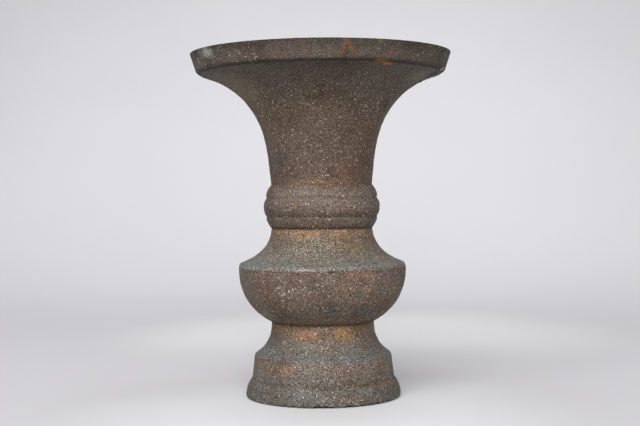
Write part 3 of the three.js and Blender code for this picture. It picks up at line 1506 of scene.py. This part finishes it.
@dataclass
class SolderBead(Casting):
    """A ring of solder in a corner, rounded and lumpy."""

    corner: Corner = Corner.OUT_UP
    face_sweep: Sweep = Sweep((0.1, 0.55), (0.55, 0.1))
    reliefs: tuple[Relief, ...] = (
        Relief(Mould.SWELL, 5.0, 0.55, middle=0.75),
        Relief(Mould.SAND, 1.6, 0.18, middle=0.75),
    )

    def outline(self) -> Outline:
        """The bead's section: two flat seats and a bulging face.

        Returns:
            The outline.
        """
        inner, outer = self.inner_radius(), reach(self.node)
        bottom, top = low(self.node), high(self.node)
        out, up = self.corner.value
        near, far = (inner, outer) if out > 0 else (outer, inner)
        base, tip = (bottom, top) if up > 0 else (top, bottom)
        face = self.face_sweep.points(Vector((far, base)), Vector((near, tip)), TINY)
        line = Outline(near, base)
        line.seat(far, base, NARROW)
        line.follow(face[1:])
        line.seat(near, (base + tip) / 2, NARROW)
        return line

    def inner_radius(self) -> float:
        """The bead's inner radius, in millimetres, measured on its frame node."""
        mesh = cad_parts[self.node].data
        return min(math.hypot(v.co.x, v.co.y) for v in mesh.vertices) / MM


@dataclass(frozen=True)
class PhotoCamera:
    """The camera of the photograph, in front of the vase and level with its collar."""

    side: float = -1.04
    distance: float = 685.3
    height: float = 117.9
    pitch: float = 0.904
    roll: float = -0.55
    lens: float = 65.64
    sensor: float = 36.0

    def place(self) -> None:
        """Adds the camera and makes it the scene's."""
        data = bpy.data.cameras.new("camera")
        data.lens = self.lens
        data.sensor_width = self.sensor
        camera = bpy.data.objects.new("camera", data)
        bpy.context.scene.collection.objects.link(camera)
        stand = Matrix.Translation(Vector((self.side, -self.distance, self.height)) * MM)
        tilt = Matrix.Rotation(math.radians(90.0 - self.pitch), 4, "X")
        roll = Matrix.Rotation(math.radians(self.roll), 4, "Z")
        camera.matrix_world = stand @ tilt @ roll
        bpy.context.scene.camera = camera


@dataclass(frozen=True)
class SoftBox:
    """A square studio lamp with a diffuser: its place, what it points at, size and power."""

    name: str
    place: tuple[float, float, float]
    aim: tuple[float, float, float]
    size: float
    power: float

    def hang(self) -> None:
        """Adds the lamp to the scene, its lengths in metres."""
        data = bpy.data.lights.new(self.name, "AREA")
        data.shape = "SQUARE"
        data.size = self.size
        data.energy = self.power
        lamp = bpy.data.objects.new(self.name, data)
        bpy.context.scene.collection.objects.link(lamp)
        way = Vector(self.aim) - Vector(self.place)
        turn = way.to_track_quat("-Z", "Y").to_matrix().to_4x4()
        lamp.matrix_world = Matrix.Translation(self.place) @ turn


@dataclass(frozen=True)
class Pool:
    """A pool of painted light on the sweep: its middle, where it starts to fade and where it ends."""

    middle: tuple[float, float, float]
    inner: float
    outer: float
    shade: str


@dataclass(frozen=True)
class Studio:
    """The plain pale sweep under and behind the vase, with pools of painted light, and its soft light,
    in metres.
    """

    width: float = 7.0
    front: float = -3.0
    back: float = 1.5
    wall: float = 3.0
    bend: float = 0.9
    bend_rows: int = 32
    # The paper's colour outside the pools, kept dim as painted shade falling off towards the sweep's
    # sides and corners
    paper_shade: str = "cccbce"
    paper_roughness: float = 0.9
    paper_sheen: float = 0.1
    pool_sway: float = 0.1
    sway_scale: float = 0.003
    # Pools of painted light: a wide one on the sweep behind the vase, one on the floor behind the foot
    # and one round the foot
    pools: tuple[Pool, ...] = (
        Pool((0.18, 2.14, -1.85), 2.16, 2.64, "e6e6e9"),
        Pool((0.04, 0.31, 0.0), 0.09, 0.24, "e0e0e2"),
        Pool((0.0, -0.08, 0.0), 0.05, 0.16, "e8e8ea"),
    )
    sky_shade: str = "e4e2e2"
    sky_strength: float = 0.32
    lamps: tuple[SoftBox, ...] = (
        SoftBox("key", (-0.35, -1.2, 1.25), (0.0, 0.0, 0.1), 1.2, 22.5),
        SoftBox("front", (0.12, -1.6, 0.35), (0.0, 0.0, 0.1), 0.8, 14.0),
        SoftBox("backdrop", (0.0, 0.3, 1.5), (0.0, 1.4, 0.15), 1.0, 9.0),
    )

    def sweep(self) -> None:
        """Adds the floor that bends up into the backdrop."""
        bpy.ops.object.select_all(action="DESELECT")
        bpy.ops.mesh.primitive_plane_add(size=1.0)
        floor = bpy.context.active_object
        floor.name = "studio_sweep"
        bpy.ops.object.mode_set(mode="EDIT")
        bpy.ops.transform.resize(value=(self.width, self.back - self.front, 1.0))
        bpy.ops.transform.translate(value=(0.0, (self.back + self.front) / 2, 0.0))
        self.pick_edges(floor, lambda a, b: min(a.y, b.y) > self.back - MM)
        bpy.ops.mesh.extrude_region_move(TRANSFORM_OT_translate={"value": (0, 0, self.wall)})
        self.pick_edges(floor, lambda a, b: min(a.y, b.y) > self.back - MM and max(a.z, b.z) < MM)
        bpy.ops.mesh.bevel(offset=self.bend, segments=self.bend_rows, affect="EDGES")
        bpy.ops.object.mode_set(mode="OBJECT")
        bpy.ops.object.shade_smooth()
        floor.data.materials.append(self.paper())

    @staticmethod
    def pick_edges(piece: Piece, wanted: Callable[[Vector, Vector], bool]) -> None:
        """Selects the edges whose two ends answer a test, and goes on in edit mode.

        Args:
            piece: The piece, in edit mode.
            wanted: The test, on the places of an edge's ends.
        """
        bpy.ops.mesh.select_mode(type="EDGE")
        bpy.ops.mesh.select_all(action="DESELECT")
        bpy.ops.object.mode_set(mode="OBJECT")
        points = piece.data.vertices
        for edge in piece.data.edges:
            first, second = edge.vertices
            edge.select = wanted(points[first].co, points[second].co)
        bpy.ops.object.mode_set(mode="EDIT")

    def paper(self) -> bpy.types.Material:
        """The matt paper of the sweep, with painted light paler behind the vase and around its foot.

        Returns:
            The material.
        """
        material = bpy.data.materials.new("backdrop_paper")
        material.use_nodes = True
        graph = Graph(material.node_tree)
        shader = graph.tree.nodes["Principled BSDF"]
        shader.inputs["Roughness"].default_value = self.paper_roughness
        shader.inputs["Specular IOR Level"].default_value = self.paper_sheen
        place = graph.add("ShaderNodeTexCoord").outputs["Object"]
        uneven = graph.minus(graph.noise(place, self.sway_scale), 0.5)
        uneven = graph.times(uneven, self.pool_sway)
        colour = srgb(self.paper_shade)
        # Each pool of painted light over the dimmer paper
        for pool in self.pools:
            away = graph.add("ShaderNodeVectorMath", place, pool.middle, operation="DISTANCE")
            distance = graph.plus(away.outputs["Value"], uneven)
            inside = graph.spread(distance, pool.inner, pool.outer, 1.0, 0.0)
            colour = graph.blend(inside, colour, srgb(pool.shade))
        graph.feed(shader.inputs["Base Color"], colour)
        return material

    def light(self) -> None:
        """Hangs the lamps and sets the room's even light."""
        world = bpy.data.worlds.new("room")
        world.use_nodes = True
        background = world.node_tree.nodes["Background"]
        background.inputs["Color"].default_value = srgb(self.sky_shade)
        background.inputs["Strength"].default_value = self.sky_strength
        bpy.context.scene.world = world
        for lamp in self.lamps:
            lamp.hang()


# The crack that runs from the brim's underside up into the lip, painted near black as painted shade,
# and its bright far side, painted light where the backdrop shows through the gap
CRACK_AZIMUTH = 78.8
GAP_LIGHT_AZIMUTH = 76.3
CRACK_SHADE = Patch(
    CRACK_AZIMUTH, 67, 187.4, 8.6, 0.8, "0a0908", 3, 0.1, lean=-31, swing=-CRACK_AZIMUTH
)
CRACK_GAP_LIGHT = Patch(
    GAP_LIGHT_AZIMUTH, 71.3, 188.8, 2.3, 0.45, "f0eee9", 3, 0.1, lean=-44, swing=-GAP_LIGHT_AZIMUTH
)

# Gaps under the foot's lower edge, pressed in and painted near black as painted shadow: the azimuth,
# the half width and the depth of each
GAPS = (
    (-100, 3, 0.7), (-73, 2.4, 0.7), (-50, 1.6, 0.8), (-44, 1.4, 0.7), (-29, 1.4, 0.7),
    (-21, 2, 0.7), (-4, 3.2, 1.1), (1, 2.6, 1.1), (5, 1.3, 0.8), (18, 2.6, 1), (28, 1.6, 0.9),
    (34, 1.2, 0.7), (42, 2.4, 0.9), (54, 1.6, 0.7), (120, 3, 0.8), (168, 3.6, 0.8),
)

FOOT_PATINA = Patina(
    "foot_patina",
    bands={
        0: "5c5852", 3: "656059", 7: "67615a", 9: "6c665e", 11.2: "645b50", 14: "6c6259",
        20: "77695e", 23.9: "74675e", 24.8: "747370", 27.5: "797671", 31: "736c64", 34.5: "71665b",
        39: "796756", 42: "75624f", 43.8: "6c5844",
    },
    warm="947050",
    warmth=0.35,
    cool="707474",
    coolness=0.4,
    grain=2.1,
    specks=0.064,
    patches=(
        Patch(-16.2, 30.3, 38.8, 11, 5.6, "a07658", 0.65, ragged=0.7),
        Patch(20.5, 30.3, 38.9, 9, 6.4, "a48054", 0.65, ragged=0.7),
        Patch(-30.2, 40.6, 19.8, 7, 4.6, "9c7a62", 0.5, ragged=0.9),
        Patch(-68.8, 40.4, 21.6, 6, 3, "7e6256", 0.4),
        Patch(13, 40.5, 20.6, 11, 4, "7c6a5c", 0.35, ragged=0.9),
        Patch(56, 42, 10.6, 14, 2.6, "86724c", 0.45, ragged=0.5),
        Patch(14, 44.1, 4.5, 3.4, 2, "988252", 0.45),
        Patch(25.2, 44.3, 4, 4, 3.2, "886850", 0.4, ragged=0.9),
        Patch(33.5, 42.7, 8.1, 3.6, 2, "747a68", 0.45),
        Patch(48, 34, 29.5, 12, 5, "6e6556", 0.45),
        Patch(60, 44.6, 5.4, 10, 4.6, "54504e", 0.5),
        Patch(0, 41.4, 12.6, 12, 4, "5c5248", 0.4),
        Patch(-50, 38, 26.6, 16, 2.6, "7c7e7e", 0.3),
        Patch(-128, 40.8, 19, 9, 4, "9c724a", 0.45),
        Patch(160, 31, 38, 8, 4.6, "a47850", 0.5, ragged=0.5),
        Patch(0, 41, 20, 14, 3, "6a5b52", 0.3),
        Patch(0, 42, 11, 9, 2.2, "54483e", 0.5),
        Patch(3, 30.3, 39, 6, 4.4, "624b36", 0.6),
        Patch(34, 37, 27, 9, 2.6, "6e6252", 0.5),
        Patch(44, 31.8, 34, 11, 6, "766650", 0.4),
        Patch(-58, 31.8, 34, 8, 5, "62584e", 0.4),
        Patch(-20, 40.6, 21, 7, 3, "6a5c52", 0.4),
        Patch(-58, 39.6, 27, 8, 3, "606060", 0.35),
        # Painted shadow in the gaps under the foot's lower edge
        *(
            Patch(azimuth, 44.4, 0.3, width, depth + 0.5, "0a0908", 3, 0.3)
            for azimuth, width, depth in GAPS
        ),
    ),
    # Painted shade in the crease under the bowl, under the band's step and in the corner above the
    # base, and a painted contact shadow along the bottom edge
    painted_shade_lines=(
        PaintedShadeLine(43.9, 1.2, "403222", 0.75),
        PaintedShadeLine(24.1, 0.5, "544a42", 0.5, breaks=0.6),
        PaintedShadeLine(11.4, 1, "54483c", 0.4, breaks=0.6),
        PaintedShadeLine(0.1, 0.8, "282420", 0.6, breaks=0.9),
    ),
)

# Chalky strokes on the bowl: azimuth, level, half width, half height and lean of each
CHALK = (
    (-28.3, 62.3, 1.5, 0.45, 8), (-26.4, 63.2, 0.4, 1.1, -15), (-23, 64.8, 0.4, 1.4, 12),
    (-21.6, 63.4, 0.9, 0.4, -20), (-12, 62.8, 1, 0.4, 10), (-31, 66.6, 0.6, 0.5, 0),
    (-18, 66.2, 0.5, 0.5, 0), (55.4, 60.6, 0.5, 1.8, 6), (58, 64.6, 0.4, 0.9, -10),
)

BELLY_PATINA = Patina(
    "belly_patina",
    bands={
        36: "62564a", 43.8: "645544", 46.5: "685a4b", 50: "61564c", 56: "685b4f", 62: "6c6054",
        68: "706459", 73: "72655d", 76.6: "72645c",
    },
    warm="8c624a",
    warmth=0.42,
    cool="565450",
    coolness=0.4,
    grain=2.1,
    specks=0.06,
    patches=(
        Patch(-42.8, 48.8, 72.6, 13, 7, "7a5c50", 0.35, ragged=0.9),
        Patch(19.2, 48.9, 73.4, 7, 3.8, "8e6852", 0.45, ragged=1),
        Patch(31, 48.8, 72.4, 7, 4.8, "9e7a60", 0.5, ragged=1),
        Patch(14.8, 48.1, 65.6, 7, 4.2, "8a6852", 0.45, ragged=1),
        Patch(31.5, 47.9, 65.1, 5.5, 5.6, "947252", 0.5, ragged=1),
        Patch(52.2, 47.9, 65.8, 7, 8, "7a5a48", 0.4, ragged=1),
        Patch(-58, 38.5, 49.5, 12, 4.6, "847a6c", 0.7),
        Patch(-28, 47.8, 66, 14, 8, "7e7062", 0.3, ragged=0.9),
        Patch(72, 48.2, 71, 12, 9, "584d44", 0.55),
        Patch(-7.3, 46.9, 60.3, 8, 4.6, "84624a", 0.35, ragged=1),
        Patch(5, 45, 56, 18, 5, "4e4844", 0.45, ragged=0.9),
        Patch(42, 43.5, 54, 12, 5, "524a42", 0.4, ragged=0.9),
        # A pale line along the front of the ridge: wear, and a painted highlight on its crest
        Patch(-8, 48.9, 75.8, 16, 0.5, "a09c96", 0.4, ragged=0.5),
        Patch(140, 48.2, 66, 9, 7, "a07048", 0.4, ragged=0.9),
        Patch(-150, 48, 64, 12, 6, "60625a", 0.45, ragged=0.9),
        Patch(-30, 48.9, 72.6, 9, 4, "7a7068", 0.35),
        *(
            Patch(azimuth, 47.7, height, width, rise, "e2ddcc", 2, 0.5, lean=lean)
            for azimuth, height, width, rise, lean in CHALK
        ),
        Patch(0, 48.3, 67, 10, 5, "5d534d", 0.4),
        Patch(-62, 46.5, 59.5, 9, 6, "726b62", 0.35),
    ),
    crusts=(
        Patch(-28.2, 47.4, 62.8, 2.6, 1.8, "e2dece", 0.8),
        Patch(-31, 48.2, 66.4, 4, 2.6, "cec4aa", 0.3),
        Patch(-20.8, 47.9, 64.7, 1.2, 3, "d6d0c0", 0.6, lean=12),
        Patch(-9.8, 47.6, 63.7, 2, 2.2, "d4cebe", 0.5),
        Patch(9, 46.6, 59.6, 5, 1, "c8bea8", 0.3, lean=-20),
        Patch(33, 48.3, 68, 3, 5, "c4b294", 0.25),
        Patch(55.2, 47, 61, 1.4, 3.4, "baa67a", 0.6),
    ),
    # Painted shade in the crease where the bowl meets the foot
    painted_shade_lines=(PaintedShadeLine(44.1, 1.2, "403222", 0.6),),
)

SHOULDER_PATINA = Patina(
    "shoulder_patina",
    bands={
        75.4: "726a62", 77: "7f7c76", 79.5: "85817a", 83.5: "7e756a", 87.5: "786c5f",
        91.5: "786859", 94.5: "7e6b5b", 96.8: "806d5a", 98.5: "766150",
    },
    warm="987856",
    warmth=0.3,
    cool="707870",
    coolness=0.35,
    grain=2.4,
    specks=0.07,
    patches=(
        Patch(-18, 30.2, 95.2, 15, 4.4, "a07854", 0.5, ragged=0.7),
        Patch(17, 30.1, 96, 13, 4.2, "a0805c", 0.5),
        Patch(-17.8, 33.7, 87.2, 6, 4, "828872", 0.45),
        Patch(32.8, 34.1, 86.6, 10, 6, "8a7c52", 0.45),
        Patch(-60, 44, 79.5, 22, 4, "72787a", 0.45),
        Patch(70, 44, 79.5, 18, 4, "6c6e6a", 0.4),
        # A pale line along the front of the ridge: wear, and a painted highlight on its crest
        Patch(-8, 48.8, 76.3, 18, 0.6, "a4a29c", 0.5, ragged=0.5),
        Patch(150, 31, 95, 16, 4, "a07c56", 0.45, ragged=0.5),
        Patch(45, 30.3, 95.5, 9, 4, "968066", 0.5),
        Patch(0, 30.3, 95, 6, 3.6, "66554a", 0.45),
        Patch(-56, 31.8, 90, 9, 5, "625448", 0.35),
        Patch(62, 31.8, 90, 7, 5, "62564c", 0.35),
        Patch(2, 43, 80, 14, 2.6, "92918c", 0.35),
    ),
    crusts=(
        Patch(6, 33, 88.6, 14, 1.6, "cec8b8", 0.2, lean=-28),
        Patch(-16, 34.6, 85.8, 12, 3, "cac6b4", 0.1),
    ),
    # Painted shade in the crease under the collar
    painted_shade_lines=(PaintedShadeLine(98.4, 0.8, "3e3228", 0.7),),
)

COLLAR_PATINA = Patina(
    "collar_patina",
    bands={
        98.5: "5e4e42", 100.5: "66584b", 103.5: "6a5d52", 106: "60544a", 108.5: "665950",
        111: "70635a", 114: "766a61", 118: "7a6c63", 121: "76685d", 123.8: "706156",
    },
    warm="8e6c54",
    warmth=0.3,
    cool="6e6b67",
    coolness=0.3,
    grain=1.95,
    specks=0.045,
    patches=(
        Patch(-27.5, 33.7, 111.8, 5, 3, "927256", 0.4, ragged=0.9),
        Patch(20, 33.9, 110, 9, 2.4, "8c6852", 0.35, ragged=0.9),
        Patch(-10, 32.9, 105.4, 8, 1.6, "7c624a", 0.35, ragged=0.9),
        Patch(-66, 33.4, 114, 9, 12, "584e46", 0.45),
        Patch(64, 33.4, 114, 5, 5, "7a5a42", 0.45, ragged=0.9),
        Patch(130, 34, 110, 7, 4, "966e4c", 0.4, ragged=0.9),
        Patch(-50, 33.9, 110.5, 10, 5, "5c534e", 0.35),
        Patch(0, 33, 107.6, 26, 2.6, "74675e", 0.4),
        Patch(38, 31.5, 102.5, 16, 3, "7a726c", 0.5),
        Patch(-68, 32, 119, 8, 4.6, "5c5047", 0.5),
        Patch(72, 32, 119, 6, 4, "5e534a", 0.4),
        Patch(-2, 33.4, 116, 14, 5, "80766e", 0.35),
        Patch(26, 32.6, 118, 10, 5, "847b76", 0.35),
        Patch(26, 33.9, 112, 8, 3, "7a706a", 0.35),
    ),
    # Painted shade in the two grooves, broad under the bulge, and in the crease at the collar's foot
    painted_shade_lines=(
        PaintedShadeLine(106.2, 1.6, "4c4239", 0.3, breaks=0.3),
        PaintedShadeLine(116.2, 0.9, "5c524a", 0.35, breaks=0.5),
        PaintedShadeLine(98.6, 0.9, "362b24", 0.75),
    ),
)

NECK_PATINA = Patina(
    "neck_patina",
    bands={
        123.8: "705c4d", 126: "6c584b", 130: "65554b", 142: "66574d", 156: "635549", 164: "625447",
        170: "5d5146", 176: "584f45", 184: "585046", 188.3: "504941",
    },
    warm="7e5e46",
    warmth=0.28,
    cool="544f4a",
    coolness=0.35,
    grain=1.95,
    grain_fade=(170.0, 187.0),
    specks=0.05,
    patches=(
        Patch(52, 32, 147, 12, 26, "745842", 0.25),
        Patch(28, 31.6, 141, 7, 10, "70625a", 0.35),
        Patch(28, 42, 169, 9, 7, "483c30", 0.3),
        Patch(26, 30.3, 131.8, 11, 9, "7a604c", 0.3),
        Patch(2, 29.7, 125.2, 20, 2, "907054", 0.45, ragged=0.9),
        Patch(-50.3, 30.6, 137, 10, 14, "4a4546", 0.45),
        Patch(-62, 50, 177, 26, 16, "807058", 0.5, ragged=0.6),
        Patch(-60, 36, 157, 12, 16, "786a5a", 0.35, ragged=0.7),
        Patch(68, 61, 184.5, 20, 8, "706658", 0.6, ragged=0.7),
        Patch(0, 42.5, 170, 12, 6, "4a423a", 0.35),
        Patch(-64, 31.6, 144, 8, 12, "70645a", 0.35),
        Patch(30, 40, 166, 12, 9, "50443a", 0.25),
        Patch(3, 44.2, 172.1, 9, 6, "564238", 0.3, ragged=0.9),
        Patch(31, 70.4, 188.1, 4.2, 3, "b26c32", 0.85, ragged=0.6),
        Patch(26.5, 71, 188.3, 6, 1.4, "966238", 0.5),
        Patch(63, 40.5, 168, 4, 9, "342d28", 0.6, lean=-38, ragged=0.7),
        Patch(84.5, 58.6, 183.2, 1.8, 1.4, "12100f", 1, ragged=0.2),
        Patch(37.2, 40.9, 167.8, 2.6, 2, "766a4e", 0.4, ragged=1.2),
        Patch(25, 44.7, 172.7, 4, 1.4, "766646", 0.4, ragged=1.2),
        Patch(1.8, 36.2, 159.4, 3.6, 3.2, "82704e", 0.3, ragged=1.2),
        Patch(-140, 33, 140, 14, 22, "785840", 0.35, ragged=0.9),
        Patch(170, 55, 181, 9, 5, "687062", 0.4, ragged=0.9),
        Patch(0, 32.6, 147, 14, 9, "564941", 0.35),
        Patch(-3, 39.4, 166, 0.4, 16, "968a70", 0.4, lean=-70, ragged=0.5),
        Patch(-25, 29.9, 130.5, 8, 5, "625953", 0.35),
        # The crack's painted shade and the painted light through its gap
        CRACK_SHADE,
        CRACK_GAP_LIGHT,
    ),
    crusts=(
        Patch(52, 40.8, 168.4, 1.2, 9, "c4b688", 0.5, lean=-38),
        Patch(-3, 39, 165.4, 1.2, 13, "b0a27a", 0.25, lean=-68),
        Patch(37.2, 40.9, 167.8, 2.6, 2, "b2a476", 0.3, ragged=0.9),
        Patch(26, 44.7, 172.7, 7, 1.2, "b2a070", 0.3, ragged=0.9),
        Patch(35, 58, 182.2, 1.6, 1.2, "bab088", 0.4, ragged=0.9),
    ),
    # Painted shade in the crease under the lip and at the neck's root
    painted_shade_lines=(
        PaintedShadeLine(188.5, 0.6, "302a26", 0.45, breaks=0.3),
        PaintedShadeLine(123.9, 0.5, "503e32", 0.4),
    ),
)

LIP_PATINA = Patina(
    "lip_patina",
    bands={
        188.3: "38312c", 189.4: "403832", 190.6: "5a5047", 193: "5a5047", 196.5: "504840",
        200: "48413a",
    },
    warm="745640",
    warmth=0.35,
    cool="4e4c48",
    coolness=0.35,
    grain=1.5,
    relief=0.1,
    specks=0.003,
    patches=(
        Patch(-57.5, 75.6, 197.2, 10, 4.8, "969a92", 0.85, ragged=0.6),
        Patch(-68, 74.2, 192, 10, 4, "74726a", 0.6),
        Patch(-38, 74.4, 193.4, 9, 3.6, "68625a", 0.4),
        Patch(4, 75.8, 198.2, 14, 2.2, "3c3936", 0.5),
        Patch(-50, 76, 199, 22, 1.6, "3a342e", 0.5, ragged=0.6),
        Patch(66, 75.8, 198, 14, 2.6, "3c352c", 0.45),
        Patch(9.3, 75, 194.4, 1.6, 5.6, "845432", 0.6, lean=19, ragged=0.5),
        Patch(12.6, 75, 194.4, 1.6, 6.2, "805232", 0.6, lean=-30, ragged=0.5),
        Patch(10.2, 75.7, 197.7, 2.6, 2.6, "7c5232", 0.4, ragged=0.5),
        Patch(-6.5, 75, 194, 2.2, 6, "70503a", 0.45, lean=-27),
        Patch(-18.8, 74.5, 194.3, 4, 4, "6e5440", 0.35, ragged=0.9),
        Patch(31.3, 74.5, 194.4, 2.2, 3, "7c563c", 0.5, ragged=0.9),
        Patch(24.5, 75.8, 198.2, 3.6, 2.2, "76683e", 0.5),
        Patch(42.8, 73.2, 191, 9, 3.4, "6a5040", 0.25),
        Patch(56.2, 75.4, 197, 4.4, 3.6, "5c5e4a", 0.5),
        Patch(27, 71.4, 188.8, 6, 1.6, "966238", 0.55),
        Patch(-28.2, 74.7, 194.8, 0.8, 4, "7c746a", 0.35, lean=-10, ragged=1.2),
        Patch(120, 75, 194.5, 8, 3.6, "767868", 0.6, ragged=0.9),
        Patch(-160, 75, 193.5, 3, 3.4, "8c603c", 0.5, ragged=0.9),
        # The crack's painted shade and the painted light through its gap
        CRACK_SHADE,
        CRACK_GAP_LIGHT,
    ),
    crusts=(
        Patch(-57.5, 75.6, 197, 9, 4.6, "b0b6aa", 0.5, ragged=1),
        Patch(-46, 75.6, 197.6, 5, 2.4, "22201c", 0.4, ragged=1),
        Patch(-64, 74.6, 193.4, 24, 7, "9e9a8e", 0.14),
        Patch(-56, 74.6, 193, 9, 3, "22201c", 0.3, ragged=0.9),
        Patch(-34, 74.6, 193.8, 18, 6, "8a8074", 0.1),
        Patch(62, 74.8, 194.4, 28, 7, "8c8270", 0.14),
    ),
    # Painted shade along the crease at the lip's lower edge
    painted_shade_lines=(PaintedShadeLine(188.9, 0.7, "302a26", 0.35, breaks=0.3),),
)

SOLDER = Patina(
    "tarnished_solder",
    bands={0: "747068", 200: "6e6a62"},
    warm="806c54",
    warmth=0.4,
    cool="5c605e",
    coolness=0.4,
    grain=0.5,
    specks=0.03,
    roughness=0.5,
    metal=0.5,
)

# The lip's skin, which only goes in from the turned outline, so that the rim keeps to the frame
LIP_SKIN = (
    Relief(Mould.SWELL, 20.0, 0.16, middle=1.0),
    Relief(Mould.SAND, 2.4, 0.22, detail=3, middle=1.0),
)

# The dents under the foot's edge, the notch in the ridge, the crack below the brim and its burr
GAP_MARKS = tuple(
    Mark(azimuth, 44.6, 0.0, width, depth + 0.7, depth, f"gap_{azimuth}")
    for azimuth, width, depth in GAPS
)
NOTCH = Mark(6.0, 48.9, 75.6, 3.6, 0.8, 0.7, "seam_notch")
BRIM_CRACK = Mark(
    CRACK_SHADE.azimuth,
    CRACK_SHADE.radius,
    CRACK_SHADE.height,
    CRACK_SHADE.width,
    1.2,
    0.3,
    "brim_crack",
    lean=CRACK_SHADE.lean,
    swing=CRACK_SHADE.swing,
)
BURR = Mark(84.5, 58.4, 183.4, 1.8, 1.2, -0.9, "burr")

# The beads of solder: the frame node of each, its facets and the corner that it fills
BEADS = (
    ("foot_solder", 220, Corner.OUT_DOWN),
    ("neck_solder", 220, Corner.OUT_DOWN),
    ("belly_solder", 300, Corner.IN_DOWN),
    ("floor_solder", 220, Corner.OUT_UP),
    ("lip_solder", 400, Corner.IN_UP),
)


def castings() -> list[Casting]:
    """Sets out the vase.

    Returns:
        Its sections, from the foot up, and the solder that joins them.
    """
    belly, neck = BELLY_PATINA, NECK_PATINA
    return [
        Foot("foot_casting", "foot", "foot_patina", FOOT_PATINA, 460, marks=GAP_MARKS),
        Bowl("bowl_casting", "belly_bowl", "belly_patina", belly, 480),
        FloorPlate("floor_plate", "floor_disc", "belly_patina", belly, 160),
        Shoulder(
            "shoulder_casting", "shoulder", "shoulder_patina", SHOULDER_PATINA, 480, marks=(NOTCH,)
        ),
        Collar("collar_casting", "collar_ring", "collar_patina", COLLAR_PATINA, 420),
        Neck("neck_casting", "trumpet_neck", "neck_patina", neck, 440, marks=(BRIM_CRACK, BURR)),
        Lip("lip_casting", "lip_band", "lip_patina", LIP_PATINA, 600, reliefs=LIP_SKIN),
        *(
            SolderBead(f"{node}_bead", node, "solder", SOLDER, facets, corner=corner)
            for node, facets, corner in BEADS
        ),
    ]


def main() -> None:
    """Builds the vase, the studio and the camera, and logs each piece's face count."""
    logging.basicConfig(level=logging.INFO, format="%(message)s")
    bpy.context.scene.view_settings.view_transform = "Standard"
    PhotoCamera().place()
    studio = Studio()
    studio.sweep()
    studio.light()
    effects = Effects()
    for section in castings():
        piece = section.build()
        section.dress(piece, effects)
        log.info("%s: %d faces", piece.name, len(piece.data.polygons))


if __name__ == "__main__":
    main()
